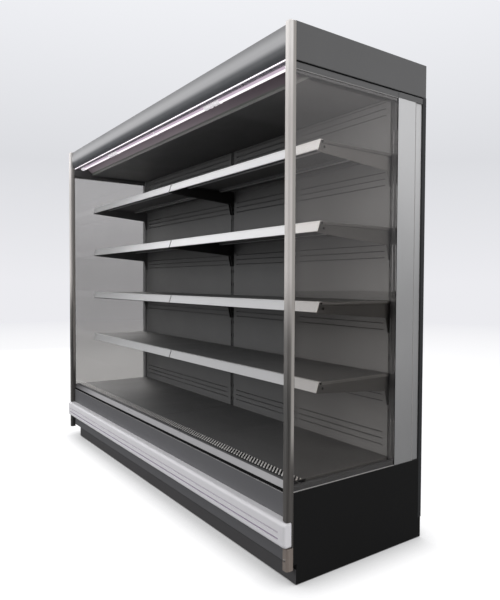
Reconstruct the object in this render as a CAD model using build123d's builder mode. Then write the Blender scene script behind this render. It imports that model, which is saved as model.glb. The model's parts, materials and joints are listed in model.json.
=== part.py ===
from build123d import *
import math
import os

# Open multideck display fridge, two shelf bays side by side. Millimetres.
# +X runs along the front to the right, +Y to the back, +Z up.
# The origin lies on the floor, under the middle of the whole footprint.

# ---------------------------------------------------------------- whole cabinet
bay_length = 1250.0            # one shelf bay
end_wall = 40.0                # thickness of each end wall
overall_height = 2085.0
body_depth = 740.0             # front panel to back, without the bumper
bumper_proud = 40.0            # how far the bumper stands out of the front panel
sheet = 2.0                    # steel sheet of panels and pans
fit_gap = 0.3                  # clearance between pieces that seat in each other

# ---------------------------------------------------------------- base
foot_height = 40.0
foot_pad_width = 50.0
foot_pad_height = 12.0
foot_pad_taper = 20.0
foot_stem_radius = 6.0
foot_nut_width = 19.0
foot_nut_height = 8.0
frame_rail = 40.0              # square tube of the base frame
frame_wall = 3.0
frame_end_inset = 75.0         # ends of the long rails, in from the end walls
frame_inset_front = 40.0       # front rail behind the front panel
frame_inset_rear = 40.0        # rear rail in front of the back
cross_members = 4
cross_member_inset = 155.0     # first and last cross member, in from the end walls
tub_floor = 40.0               # foamed floor of the well
tub_front_wall = 26.0
tub_rear_wall = 45.0
base_drop = 25.0               # top of the base end panels below the deck
front_panel_drop = 41.0        # top of the front panel below the deck
drain_radius = 20.0
drain_bore = 17.0
drain_length = 40.0
drain_y = 20.0
sump_width = 140.0
sump_depth = 14.0
sump_taper = 60.0              # degrees, how far its sides lean

# ---------------------------------------------------------------- plinth
kick_recess = 15.0             # kick plate behind the front panel
kick_ground_gap = 6.0
kick_left_inset = 105.0        # kick plate stops short of the left end
kick_return = 190.0
kick_top_gap = 0.5
kick_clip_width = 34.0
kick_clip_height = 24.0
kick_clip_wall = 4.0
kick_clip_spacing = 1000.0
end_panel_ground_gap = 2.0

# ---------------------------------------------------------------- front
bumper_bottom = 148.0
bumper_height = 97.0
bumper_corner = 14.0
bumper_wall = 4.0
bumper_groove = 7.0
bumper_groove_depth = 3.0
lower_groove_rise = 29.0       # groove centre above the bumper's bottom
upper_groove_rise = 54.0
bumper_cap_length = 37.0
bumper_cap_round = 10.0
sill_recess = 8.0              # dark joint under the nose of the sill
sill_nose_drop = 26.0          # bottom of the nose below the deck
sill_rise = 2.0                # top of the sill above the deck
sill_slope = 22.0              # how far the nose leans back on its way up
sill_ledge = 14.0
sill_ledge_thickness = 3.0
post_width = 32.0
post_proud = 28.0
post_bottom = 62.0
post_round = 11.0
post_wall = 2.5
post_seat = 3.5                # what is left of a post behind the bumper
post_top_edge = 4.0
panel_side_gap = 1.0

# ---------------------------------------------------------------- deck and return air
deck_height = 380.0
deck_flange = 25.0
deck_end_gap = 4.0
deck_mid_gap = 1.0
deck_rear_gap = 4.0
deck_rib = 12.0
deck_rib_spacing = 300.0
grille_width = 66.0
grille_gap = 2.0
grille_plate = 3.0
grille_slot = 52.0
grille_slot_pitch = 62.0
grille_slot_length = 48.0

# ---------------------------------------------------------------- back of the bays
duct_depth = 123.0             # rear panel face to the insulated back wall
rear_panel_top_gap = 2.0
rear_ledge = 20.0
vent_margin = 28.0             # slots to the panel's ends
vent_bridge = 26.0             # from one slot to the next in its row
vent_slot_height = 3.0
vent_columns = 2
vent_rows = 3
vent_spacing = 28.0            # from one row of slots to the next
vent_drop = 100.0              # middle row below a shelf's top
vent_ceiling_drop = 40.0       # middle row of the top group below the ceiling
vent_deck_rise = 72.0          # middle row of the lowest group above the deck
upright_depth = 26.0
upright_wall = 3.0
mid_upright_width = 44.0
end_upright_width = 28.0
upright_show = 16.0            # panel edge to the bay boundary
standoff_width = 20.0
standoff_height = 40.0
standoff_margin = 95.0
back_skin = 21.0               # rear edge that wraps round the end walls
back_skin_bottom = 92.0

# ---------------------------------------------------------------- shelves
shelf_levels = 4
top_shelf_drop = 242.0         # highest shelf below the ceiling
level_pitch = 314.0
slots_per_level = 4
shelf_depth = 405.0
shelf_rear_gap = 12.0
shelf_mid_gap = 1.5
shelf_end_gap = 1.0
shelf_end_flange = 11.0
shelf_back_flange = 18.0
shelf_lip = 34.0
shelf_rib_width = 36.0
shelf_rib_depth = 14.0
shelf_rib_inset = 95.0         # first and last rib from the pan's edges
bracket_thickness = 3.0
bracket_inset = 11.0           # bracket centre from the bay boundary
bracket_front_height = 44.0
bracket_heel_height = 75.0
bracket_tail_height = 140.0
bracket_heel_length = 26.0
bracket_tail_length = 12.0
bracket_flange = 13.0
bracket_flange_start = 20.0
hook_drop = 22.0               # hook seat below the shelf's top
hook_height = 12.0
hook_throat = 2.6
hook_nose = 6.0
hook_nose_length = 8.0
hook_seat_gap = 0.2
tab_height = 12.0
tab_length = 6.0
tab_bevel = 4.0
slot_width = 5.0
slot_height = 20.0
unhook_angle = 15.0            # front edge up, to lift a shelf out

# ---------------------------------------------------------------- price rails
rail_height = 42.0
rail_lean = 19.0               # degrees, bottom edge forward
rail_wall = 3.0
rail_ridge = 4.0
rail_ridge_proud = 1.2
rail_hook = 14.0
rail_hook_thickness = 1.5
rail_seat_gap = 0.1            # price rail to shelf lip, and shelf lip to bracket

# ---------------------------------------------------------------- canopy
canopy_height = 141.0          # height of the top end panels
ceiling_drop = 155.0           # ceiling below the top of the cabinet
roof_thickness = 40.0
roof_front_inset = 10.0
fascia_proud = 15.0
fascia_sheet = 2.5
fascia_turn_drop = 84.0        # where the fascia turns under, below its top
fascia_height = 119.0
fascia_lip_setback = 6.0       # its inner lip behind the front panel
fascia_top_lean = 9.0
fascia_flange = 24.0
honeycomb_width = 32.0
honeycomb_height = 18.0
honeycomb_rim = 3.0
honeycomb_pitch = 150.0
honeycomb_bar = 5.0
lamp_radius = 13.0
lamp_drop = 117.0              # lamp centre below the top of the cabinet
lamp_setback = 58.0            # lamp centre behind the front panel
lamp_long = 1199.0             # the middle lamp; the outer ones fill the rest of the row
lamp_end_gap = 12.5            # last lamp holder to the end wall
lamp_pin_gap = 0.4
holder_length = 16.0
holder_width = 22.0
holder_bevel = 7.0
housing_drop = 93.0            # top of the lamp housing below the top of the cabinet
housing_trough = 44.0
housing_run = 56.0
housing_lip = 12.0

# ---------------------------------------------------------------- end glass
glass_thickness = 24.0
glass_outer_inset = 4.0        # pane behind the end wall's outer face
glass_rail = 29.0              # height of the rail above the pane
glass_rail_inset = 2.0
glass_bite = 12.0              # how far the pane sits in its channels
glass_sheet = 4.0
glass_groove = 7.0
glass_rear_gap = 10.0          # rear edge of the pane in front of the rear panels
cover_strip = 46.0             # stepped-in strip of the rear cover
cover_step = 6.0

# ---------------------------------------------------------------- fans and coil
fan_margin = 22.5              # fan tips below the deck's seat and above the well's floor
fan_tip_gap = 5.0
fan_plate_setback = 16.0       # behind the front edge of the deck
fan_plate_flange = 27.0
bellmouth_depth = 15.0
bellmouth_wall = 4.0
hub_radius = 28.0
hub_length = 26.0
blade_count = 5
blade_chord = 40.0
blade_pitch = 30.0             # degrees
blade_crown = 14.0             # flat between a blade's two folds
blade_camber = 5.0             # rise of a blade in its middle
blade_thickness = 2.5
shaft_radius = 4.0
shaft_clearance = 0.05
motor_radius = 38.0
motor_length = 60.0
spider_arms = 3
spider_width = 12.0
spider_thickness = 5.0
spider_reach = 14.0
coil_end_room = 170.0          # coil to each end wall
coil_front_gap = 126.0         # behind the fan plate
coil_depth = 290.0
coil_head_room = 30.0          # coil to the deck's seat
coil_fin = 3.0
coil_fin_pitch = 96.0
coil_base = 8.0
coil_tube_radius = 8.0
tube_faces = 8                 # copper tube is drawn with this many flats
coil_tube_spacing = 64.0
coil_rows = 3
coil_tier_pitch = 100.0
suction_radius = 11.0
liquid_radius = 6.0
pipe_bend = 30.0
bend_count = 3                 # straight pieces that a quarter bend is drawn with
pipe_run = 34.0
pipe_stub_length = 34.0

# ---------------------------------------------------------------- worked out from the above
inner_half = bay_length
outer_half = inner_half + end_wall
frame_half_length = inner_half - frame_end_inset
cross_member_end = inner_half - cross_member_inset
cross_member_spacing = 2 * cross_member_end / (cross_members - 1)
front_y = bumper_proud / 2 - body_depth / 2
rear_y = front_y + body_depth
underside = foot_height + frame_rail
well_floor = underside + tub_floor
skin_y = rear_y - back_skin
back_wall_y = rear_y - tub_rear_wall
rear_face_y = back_wall_y - duct_depth
upright_face_y = rear_face_y + sheet
upright_rear_y = upright_face_y + upright_depth
well_front_y = front_y + sheet + tub_front_wall
seat_height = deck_height - deck_flange
base_height = deck_height - base_drop
front_panel_top = deck_height - front_panel_drop
sill_nose_bottom = deck_height - sill_nose_drop
sill_top = deck_height + sill_rise
roof_bottom = overall_height - roof_thickness
canopy_bottom = overall_height - canopy_height
ceiling_height = overall_height - ceiling_drop
fascia_knee = overall_height - fascia_turn_drop
fascia_bottom = overall_height - fascia_height
fascia_lip_y = front_y + fascia_lip_setback
lamp_height = overall_height - lamp_drop
housing_top = overall_height - housing_drop
top_shelf_height = ceiling_height - top_shelf_drop
roof_front_y = front_y + roof_front_inset
trim_half = outer_half - post_width - panel_side_gap
grille_front_y = well_front_y + grille_gap
grille_rear_y = grille_front_y + grille_width
deck_front_y = grille_rear_y + grille_gap
deck_rear_y = rear_face_y - deck_rear_gap
shelf_rear_y = rear_face_y - shelf_rear_gap
shelf_front_y = shelf_rear_y - shelf_depth
hook_y = upright_face_y + upright_wall
slot_pitch = level_pitch / slots_per_level
glass_outer = outer_half - glass_outer_inset
glass_inner = glass_outer - glass_thickness
glass_bottom = base_height - glass_bite
rail_bottom = canopy_bottom - glass_rail
glass_top = rail_bottom + glass_bite
glass_rear_y = rear_face_y - glass_rear_gap
cover_fold_y = skin_y - cover_strip
lamp_y = front_y + lamp_setback
kick_y = front_y + kick_recess
kick_top = underside - sheet - kick_top_gap
front_rail_y = front_y + frame_inset_front
rear_rail_y = rear_y - frame_inset_rear
sides = {"left": -1, "right": 1}
wall_front_y = front_y + sheet
fan_plate_y = deck_front_y + fan_plate_setback
fan_height = (well_floor + seat_height) / 2
fan_radius = (seat_height - well_floor) / 2 - fan_margin
coil_half_length = inner_half - coil_end_room
coil_front_y = fan_plate_y + coil_front_gap
coil_rear_y = coil_front_y + coil_depth
coil_height = seat_height - coil_head_room - well_floor
coil_middle_y = (coil_front_y + coil_rear_y) / 2
coil_middle_height = well_floor + coil_base + (coil_height - coil_base) / 2
pipe_x = coil_half_length + pipe_run + pipe_bend
suction_y = coil_middle_y + coil_tube_spacing * (coil_rows - 1) / 2
liquid_y = coil_middle_y - coil_tube_spacing * (coil_rows - 1) / 2
feet_x = (-cross_member_end, 0, cross_member_end)
fans_x = {"left": -bay_length / 2, "right": bay_length / 2}


def shelf_top(level):
    """Height of a shelf's upper face; level 1 is the highest shelf."""
    return top_shelf_height - level_pitch * (level - 1)


def save(piece, label):
    """Names a finished piece and writes its file."""
    piece.part.label = label
    export_step(piece.part, f"parts/{label}.step")


def outline(*corners):
    """Draws a closed face through its corners."""
    with BuildLine(mode=Mode.PRIVATE) as path:
        Polyline(*corners, close=True)
    make_face(path.edges())


def folded(*corners, thickness=sheet, side=Side.LEFT):
    """Draws the section of a folded sheet along an open line of corners."""
    with BuildLine(mode=Mode.PRIVATE) as path:
        Polyline(*corners)
        offset(amount=thickness, side=side, kind=Kind.INTERSECTION)
    make_face(path.edges())


def across(x, y, z):
    """Plane square to the cabinet's length, for tubes that run along it."""
    return Plane((x, y, z), x_dir=(0, 1, 0), z_dir=(1, 0, 0))


def trim_ends(bottom, top):
    """Cuts a front piece back to the end walls, where it would run into them."""
    with BuildSketch(Plane.XY.offset(bottom), mode=Mode.PRIVATE) as ends:
        for sign in sides.values():
            with Locations((sign * (inner_half + end_wall / 2), wall_front_y)):
                Rectangle(end_wall, end_wall, align=(Align.CENTER, Align.MIN))
    extrude(ends.sketch, amount=top - bottom, mode=Mode.SUBTRACT)


# ---------------------------------------------------------------- base of the cabinet
def make_levelling_feet():
    """Six screw feet: a tapered hexagonal pad, a stem and the nut against the rail."""
    rails = (front_rail_y + frame_rail / 2, rear_rail_y - frame_rail / 2)
    places = [(x, y) for x in feet_x for y in rails]
    with BuildPart() as feet:
        with BuildSketch():
            with Locations(*places):
                RegularPolygon(foot_pad_width / 2, 6, major_radius=False)
        extrude(amount=foot_pad_height, taper=foot_pad_taper)
        with BuildSketch(Plane.XY.offset(foot_pad_height)):
            with Locations(*places):
                RegularPolygon(foot_stem_radius, tube_faces)
        extrude(amount=foot_height - foot_pad_height)
        with BuildSketch(Plane.XY.offset(foot_height - foot_nut_height)):
            with Locations(*places):
                RegularPolygon(foot_nut_width / 2, 6, major_radius=False)
        extrude(amount=foot_nut_height)
    save(feet, "levelling_feet")


def make_base_frame():
    """Welded frame of square tube: two long rails and four cross members."""
    rails = (front_rail_y + frame_rail / 2, rear_rail_y - frame_rail / 2)
    span = rails[1] - rails[0] - frame_rail
    middle_y = (rails[0] + rails[1]) / 2
    cross_x = [k * cross_member_spacing - cross_member_end for k in range(cross_members)]
    bore = frame_rail - 2 * frame_wall
    with BuildPart() as frame:
        with BuildSketch(Plane.YZ):
            with Locations(*[(y, foot_height + frame_rail / 2) for y in rails]):
                Rectangle(frame_rail, frame_rail)
                Rectangle(bore, bore, mode=Mode.SUBTRACT)
        extrude(amount=frame_half_length, both=True)
        with BuildSketch(Plane.XZ.offset(-middle_y)):
            with Locations(*[(x, foot_height + frame_rail / 2) for x in cross_x]):
                Rectangle(frame_rail, frame_rail)
                Rectangle(bore, bore, mode=Mode.SUBTRACT)
        extrude(amount=span / 2, both=True)
    save(frame, "base_frame")


def make_base_tub():
    """Foamed well that holds fans and coil, with a sump, drain spigot and pipe holes."""
    with BuildPart() as tub:
        with BuildSketch(Plane.YZ):
            outline((front_y + sheet, underside), (rear_y, underside), (rear_y, base_height),
                    (back_wall_y, base_height), (back_wall_y, well_floor),
                    (well_front_y, well_floor), (well_front_y, front_panel_top),
                    (front_y + sheet, front_panel_top))
        extrude(amount=inner_half, both=True)
        with BuildSketch(Plane.XY.offset(underside)):
            with Locations((0, drain_y)):
                Circle(drain_radius)
        extrude(amount=-drain_length)
        with BuildSketch(Plane.XY.offset(well_floor)):
            with Locations((0, drain_y)):
                Rectangle(sump_width, sump_width)
        extrude(amount=-sump_depth, taper=sump_taper, mode=Mode.SUBTRACT)
        with BuildSketch(Plane.XY.offset(well_floor)):
            with Locations((0, drain_y)):
                Circle(drain_bore)
        extrude(amount=-(tub_floor + drain_length), mode=Mode.SUBTRACT)
        with BuildSketch(Plane.XY.offset(underside)):
            with Locations((pipe_x, suction_y)):
                Circle(suction_radius + fit_gap)
            with Locations((pipe_x, liquid_y)):
                Circle(liquid_radius + fit_gap)
        extrude(amount=tub_floor, mode=Mode.SUBTRACT)
    save(tub, "base_tub")


def make_kick_plate():
    """Clip-on plinth: a front face, a return at its left end and spring clips behind."""
    left = -(outer_half - kick_left_inset)
    notch_x = trim_half - panel_side_gap
    with BuildPart() as kick:
        with BuildSketch(Plane.XZ.offset(-kick_y)):
            outline((left, kick_ground_gap), (outer_half, kick_ground_gap),
                    (outer_half, post_bottom - sheet), (notch_x, post_bottom - sheet),
                    (notch_x, kick_top), (left, kick_top))
        extrude(amount=-sheet)
        with BuildSketch(Plane.XY.offset(kick_ground_gap)):
            with Locations((left, kick_y)):
                Rectangle(sheet, kick_return, align=(Align.MIN, Align.MIN))
        extrude(amount=kick_top - kick_ground_gap)
        with BuildSketch(Plane.XY.offset(foot_height + frame_rail / 2)):
            clip_depth = front_rail_y - kick_y - fit_gap
            with Locations(*[(k * kick_clip_spacing, kick_y) for k in (-1, 0, 1)]):
                Rectangle(kick_clip_width, clip_depth, align=(Align.CENTER, Align.MIN))
                Rectangle(kick_clip_width - 2 * kick_clip_wall, clip_depth - kick_clip_wall,
                          align=(Align.CENTER, Align.MIN), mode=Mode.SUBTRACT)
        extrude(amount=kick_clip_height / 2, both=True)
    save(kick, "kick_plate")


# ---------------------------------------------------------------- front of the cabinet
def make_front_panel():
    """Painted front sheet, folded under the well."""
    with BuildPart() as panel:
        with BuildSketch(Plane.YZ):
            folded((front_y, front_panel_top), (front_y, underside - sheet),
                   (front_y + tub_front_wall, underside - sheet))
        extrude(amount=inner_half, both=True)
        with BuildSketch(Plane.YZ):
            outline((front_y, front_panel_top), (front_y, underside - sheet),
                    (wall_front_y, underside - sheet), (wall_front_y, front_panel_top))
        extrude(amount=trim_half, both=True)
    save(panel, "front_panel")


def make_bumper():
    """Hollow grooved trolley bumper, with a rounded moulded cap at each end."""
    bumper_y = front_y - bumper_proud
    middle = bumper_bottom + bumper_height / 2
    body_end = inner_half
    with BuildPart() as bumper:
        with BuildSketch(Plane.YZ):
            with BuildSketch(Plane.XY, mode=Mode.PRIVATE) as section:
                with Locations((bumper_y, middle)):
                    Rectangle(bumper_proud, bumper_height, align=(Align.MIN, Align.CENTER))
                front = section.vertices().group_by(Axis.X)[0]
                fillet(front, radius=bumper_corner)
            add(section.sketch)
            with Locations((bumper_y, bumper_bottom + lower_groove_rise),
                           (bumper_y, bumper_bottom + upper_groove_rise)):
                Rectangle(bumper_groove_depth, bumper_groove, align=(Align.MIN, Align.CENTER),
                          mode=Mode.SUBTRACT)
            with Locations((front_y - bumper_wall, middle)):
                Rectangle(bumper_proud - 2 * bumper_wall - bumper_groove_depth,
                          bumper_height - 2 * bumper_corner,
                          align=(Align.MAX, Align.CENTER), mode=Mode.SUBTRACT)
        extrude(amount=body_end, both=True)
        for sign in sides.values():
            with BuildPart(mode=Mode.PRIVATE) as cap:
                with BuildSketch(Plane.YZ.offset(sign * body_end)) as cap_section:
                    with Locations((bumper_y, middle)):
                        Rectangle(bumper_proud - post_seat - fit_gap, bumper_height,
                                  align=(Align.MIN, Align.CENTER))
                    fillet(cap_section.vertices().group_by(Axis.X)[0], radius=bumper_corner)
                extrude(amount=sign * bumper_cap_length)
                end_face = cap.faces().sort_by(Axis.X)[-1 if sign > 0 else 0]
                back = end_face.edges().group_by(Axis.Y)[-1]
                fillet(end_face.edges() - back, radius=bumper_cap_round)
            add(cap.part)
    save(bumper, "bumper")


def make_front_sill():
    """Aluminium sill on the front wall: sloped nose over a dark joint, ledge for the grille."""
    nose_y = front_y + sill_slope
    with BuildPart() as sill:
        with BuildSketch(Plane.YZ):
            outline((front_y + sill_recess, front_panel_top), (well_front_y, front_panel_top),
                    (well_front_y, seat_height - sill_ledge_thickness),
                    (well_front_y + sill_ledge, seat_height - sill_ledge_thickness),
                    (well_front_y + sill_ledge, seat_height), (well_front_y, seat_height),
                    (well_front_y, sill_top), (nose_y, sill_top), (front_y, sill_nose_bottom),
                    (front_y + sill_recess, sill_nose_bottom))
        extrude(amount=trim_half, both=True)
        trim_ends(front_panel_top, base_height)
    save(sill, "front_sill")


def make_front_post(side):
    """Rounded corner post, notched where the bumper crosses it."""
    sign = sides[side]
    inner = sign * (outer_half - post_width)
    outer = sign * outer_half
    face = front_y - post_proud
    with BuildPart() as post:
        with BuildSketch(Plane.XY.offset(post_bottom)) as section:
            outline((inner, wall_front_y), (outer, wall_front_y), (outer, face), (inner, face))
            fillet(section.vertices().group_by(Axis.Y)[0], radius=post_round)
        extrude(amount=overall_height - post_bottom)
        crown = post.faces().sort_by(Axis.Z)[-1].edges()
        chamfer(crown.filter_by(lambda edge: edge.center().Y < front_y), length=post_top_edge)
        with BuildSketch(Plane.XY.offset(post_bottom)):
            with Locations(((inner + outer) / 2, (face + front_y - post_seat) / 2)):
                Rectangle(post_width - 2 * post_round, post_proud - post_seat - 2 * post_wall)
        extrude(amount=overall_height - post_bottom - 2 * post_top_edge, mode=Mode.SUBTRACT)
        with BuildSketch(Plane.XY.offset(bumper_bottom - sheet)):
            with Locations(((inner + outer) / 2, front_y - post_seat)):
                Rectangle(post_width, post_proud, align=(Align.CENTER, Align.MAX))
        extrude(amount=bumper_height + 2 * sheet, mode=Mode.SUBTRACT)
    save(post, f"front_post_{side}")


# ---------------------------------------------------------------- end walls
def make_end_base_panel(side):
    """Insulated lower end panel; the right one runs down to the floor."""
    sign = sides[side]
    if side == "right":
        lower = ((kick_y + 2 * sheet, underside), (kick_y + 2 * sheet, end_panel_ground_gap),
                 (rear_y - sheet, end_panel_ground_gap), (rear_y - sheet, back_skin_bottom),
                 (skin_y, back_skin_bottom))
    else:
        lower = ((skin_y, underside),)
    with BuildPart() as panel:
        with BuildSketch(Plane.YZ.offset(sign * inner_half)):
            outline((wall_front_y, underside), *lower, (skin_y, base_height), (wall_front_y, base_height))
        extrude(amount=sign * end_wall)
        with BuildSketch(Plane.XY.offset(base_height)):
            with Locations((sign * (glass_inner + glass_outer) / 2, wall_front_y)):
                Rectangle(glass_thickness + 2 * fit_gap, glass_rear_y - wall_front_y,
                          align=(Align.CENTER, Align.MIN))
        extrude(amount=-glass_bite, mode=Mode.SUBTRACT)
        outer_face = panel.faces().sort_by(Axis.X)[-1 if sign > 0 else 0]
        chamfer(outer_face.edges(), length=sheet)
    save(panel, f"end_base_panel_{side}")


def make_end_top_panel(side):
    """Insulated upper end panel with the rail that holds the pane's top edge."""
    sign = sides[side]
    rail_width = end_wall - glass_rail_inset
    with BuildPart() as panel:
        with BuildSketch(Plane.YZ.offset(sign * inner_half)):
            outline((wall_front_y, canopy_bottom), (rear_y, canopy_bottom), (rear_y, overall_height),
                    (wall_front_y, overall_height))
        extrude(amount=sign * end_wall)
        outer_face = panel.faces().sort_by(Axis.X)[-1 if sign > 0 else 0]
        chamfer(outer_face.edges(), length=sheet)
        with BuildSketch(Plane.XY.offset(canopy_bottom)):
            with Locations((sign * (inner_half + rail_width / 2), wall_front_y)):
                Rectangle(rail_width, glass_rear_y - wall_front_y, align=(Align.CENTER, Align.MIN))
        extrude(amount=-glass_rail)
        with BuildSketch(Plane.XY.offset(rail_bottom)):
            with Locations((sign * (glass_inner + glass_outer) / 2, wall_front_y)):
                Rectangle(glass_thickness + 2 * fit_gap, glass_rear_y - wall_front_y,
                          align=(Align.CENTER, Align.MIN))
        extrude(amount=glass_bite + fit_gap, mode=Mode.SUBTRACT)
    save(panel, f"end_top_panel_{side}")


def make_end_glass(side):
    """Sealed double pane; the groove round its edge is where the spacer sits back."""
    sign = sides[side]
    with BuildPart() as glass:
        with BuildSketch(Plane.YZ.offset(sign * glass_inner)):
            outline((wall_front_y + fit_gap, glass_bottom), (glass_rear_y - fit_gap, glass_bottom),
                    (glass_rear_y - fit_gap, glass_top), (wall_front_y + fit_gap, glass_top))
        extrude(amount=sign * glass_thickness)
        with BuildSketch(Plane.YZ.offset(sign * (glass_inner + glass_outer) / 2)) as ring:
            outline((wall_front_y + fit_gap, glass_bottom), (glass_rear_y - fit_gap, glass_bottom),
                    (glass_rear_y - fit_gap, glass_top), (wall_front_y + fit_gap, glass_top))
            offset(amount=-glass_groove, mode=Mode.SUBTRACT)
        extrude(amount=glass_thickness / 2 - glass_sheet, both=True, mode=Mode.SUBTRACT)
    save(glass, f"end_glass_{side}")


def make_end_rear_cover(side):
    """Pale folded cover that closes the end of the rear air duct."""
    sign = sides[side]
    outer = outer_half - sheet
    with BuildPart() as cover:
        with BuildSketch(Plane.XY.offset(base_height)):
            outline((sign * inner_half, glass_rear_y), (sign * outer, glass_rear_y),
                    (sign * outer, cover_fold_y), (sign * (outer - cover_step), cover_fold_y + cover_step),
                    (sign * (outer - cover_step), skin_y), (sign * inner_half, skin_y))
        extrude(amount=canopy_bottom - base_height)
    save(cover, f"end_rear_cover_{side}")


def make_back_wall():
    """Insulated back wall, whose outer skin wraps round both end walls."""
    with BuildPart() as wall:
        with BuildSketch(Plane.XY.offset(base_height)):
            with Locations((0, back_wall_y)):
                Rectangle(2 * inner_half, tub_rear_wall, align=(Align.CENTER, Align.MIN))
        extrude(amount=roof_bottom - base_height)
        with BuildSketch(Plane.XY.offset(back_skin_bottom)):
            for sign in sides.values():
                with Locations((sign * (inner_half + end_wall / 2), skin_y)):
                    Rectangle(end_wall, back_skin, align=(Align.CENTER, Align.MIN))
        extrude(amount=canopy_bottom - back_skin_bottom)
    save(wall, "back_wall")


# ---------------------------------------------------------------- canopy
def make_canopy_roof():
    """Insulated roof slab."""
    with BuildPart() as roof:
        with BuildSketch(Plane.YZ):
            outline((roof_front_y, roof_bottom), (rear_y, roof_bottom), (rear_y, overall_height),
                    (roof_front_y, overall_height))
        extrude(amount=inner_half, both=True)
    save(roof, "canopy_roof")


def make_canopy_fascia():
    """Bowed front sheet of the canopy, turned under at the bottom."""
    face = front_y - fascia_proud
    inside = face + fascia_sheet
    ceiling = overall_height - fascia_sheet
    bow_height = (overall_height + fascia_knee) / 2
    turn_height = (fascia_knee + fascia_bottom) / 2 - fascia_sheet
    with BuildPart() as fascia:
        with BuildSketch(Plane.YZ):
            with BuildLine():
                Polyline((roof_front_y, overall_height - fascia_flange), (roof_front_y, overall_height),
                         (face + fascia_top_lean, overall_height))
                ThreePointArc((face + fascia_top_lean, overall_height), (face, bow_height),
                              (inside, fascia_knee))
                ThreePointArc((inside, fascia_knee), (face + fascia_top_lean, turn_height),
                              (fascia_lip_y, fascia_bottom))
                Line((fascia_lip_y, fascia_bottom), (fascia_lip_y, fascia_bottom + fascia_sheet))
                ThreePointArc((fascia_lip_y, fascia_bottom + fascia_sheet),
                              (inside + fascia_top_lean, turn_height + fascia_sheet),
                              (inside + fascia_sheet, fascia_knee))
                ThreePointArc((inside + fascia_sheet, fascia_knee), (inside, bow_height),
                              (inside + fascia_top_lean, ceiling))
                Polyline((inside + fascia_top_lean, ceiling), (roof_front_y - fascia_sheet, ceiling),
                         (roof_front_y - fascia_sheet, overall_height - fascia_flange),
                         (roof_front_y, overall_height - fascia_flange))
            make_face()
        extrude(amount=trim_half, both=True)
        trim_ends(canopy_bottom, overall_height)
    save(fascia, "canopy_fascia")


def make_air_honeycomb():
    """Air outlet of the front curtain: a rim with a row of vanes across it."""
    count = int((2 * inner_half - 2 * honeycomb_rim) // honeycomb_pitch)
    with BuildPart() as honeycomb:
        with BuildSketch(Plane.XY.offset(fascia_bottom)):
            with Locations((0, fascia_lip_y + honeycomb_width / 2)):
                Rectangle(2 * inner_half, honeycomb_width)
                with GridLocations(honeycomb_pitch, honeycomb_width, count, 1):
                    Rectangle(honeycomb_pitch - honeycomb_bar, honeycomb_width - 2 * honeycomb_rim,
                              mode=Mode.SUBTRACT)
        extrude(amount=honeycomb_height)
    save(honeycomb, "air_honeycomb")


def make_lamp_housing():
    """Lamp trough: a lip, a flat top and a sloped reflector face down to the ceiling."""
    trough_y = fascia_lip_y + honeycomb_width
    face_y = trough_y + housing_trough
    with BuildPart() as housing:
        with BuildSketch(Plane.YZ):
            folded((trough_y, fascia_bottom), (trough_y, housing_top), (face_y, housing_top),
                   (face_y + housing_run, ceiling_height + housing_lip),
                   (face_y + housing_run, ceiling_height), side=Side.RIGHT)
        extrude(amount=inner_half, both=True)
    save(housing, "lamp_housing")


def make_canopy_ceiling():
    """Ceiling of the top bay, with an upstand that meets the lamp housing."""
    start_y = fascia_lip_y + honeycomb_width + housing_trough + housing_run
    with BuildPart() as ceiling:
        with BuildSketch(Plane.YZ):
            folded((start_y, ceiling_height + housing_lip), (start_y, ceiling_height),
                   (rear_face_y, ceiling_height), side=Side.LEFT)
        extrude(amount=inner_half, both=True)
    save(ceiling, "canopy_ceiling")


def lamp_spans():
    """Left end and length of each lamp, laid end to end with a holder at each end."""
    gap = 2 * (holder_length + lamp_pin_gap)
    lamp_short = inner_half - lamp_end_gap - holder_length - lamp_pin_gap / 2 - gap - lamp_long / 2
    middle_start = -lamp_long / 2
    right_start = middle_start + lamp_long + gap
    left_start = middle_start - gap - lamp_short
    return ((left_start, lamp_short), (middle_start, lamp_long), (right_start, lamp_short))


def make_lamp_tubes():
    """Three fluorescent tubes, end to end."""
    with BuildPart() as tubes:
        for start, length in lamp_spans():
            with BuildSketch(across(start, lamp_y, lamp_height)):
                Circle(lamp_radius)
            extrude(amount=length)
    save(tubes, "lamp_tubes")


def make_lamp_holders():
    """Six moulded lamp holders that hang from the housing and carry the tube ends."""
    half = holder_width / 2
    low = lamp_height - half
    with BuildPart() as holders:
        for start, length in lamp_spans():
            for face_x, sign in ((start, -1), (start + length, 1)):
                near = face_x + sign * lamp_pin_gap / 2
                with BuildSketch(Plane.YZ.offset(near)):
                    outline((lamp_y + half, housing_top - sheet), (lamp_y + half, low + holder_bevel),
                            (lamp_y + half - holder_bevel, low), (lamp_y - half + holder_bevel, low),
                            (lamp_y - half, low + holder_bevel), (lamp_y - half, housing_top - sheet))
                extrude(amount=sign * holder_length)
    save(holders, "lamp_holders")


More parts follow.
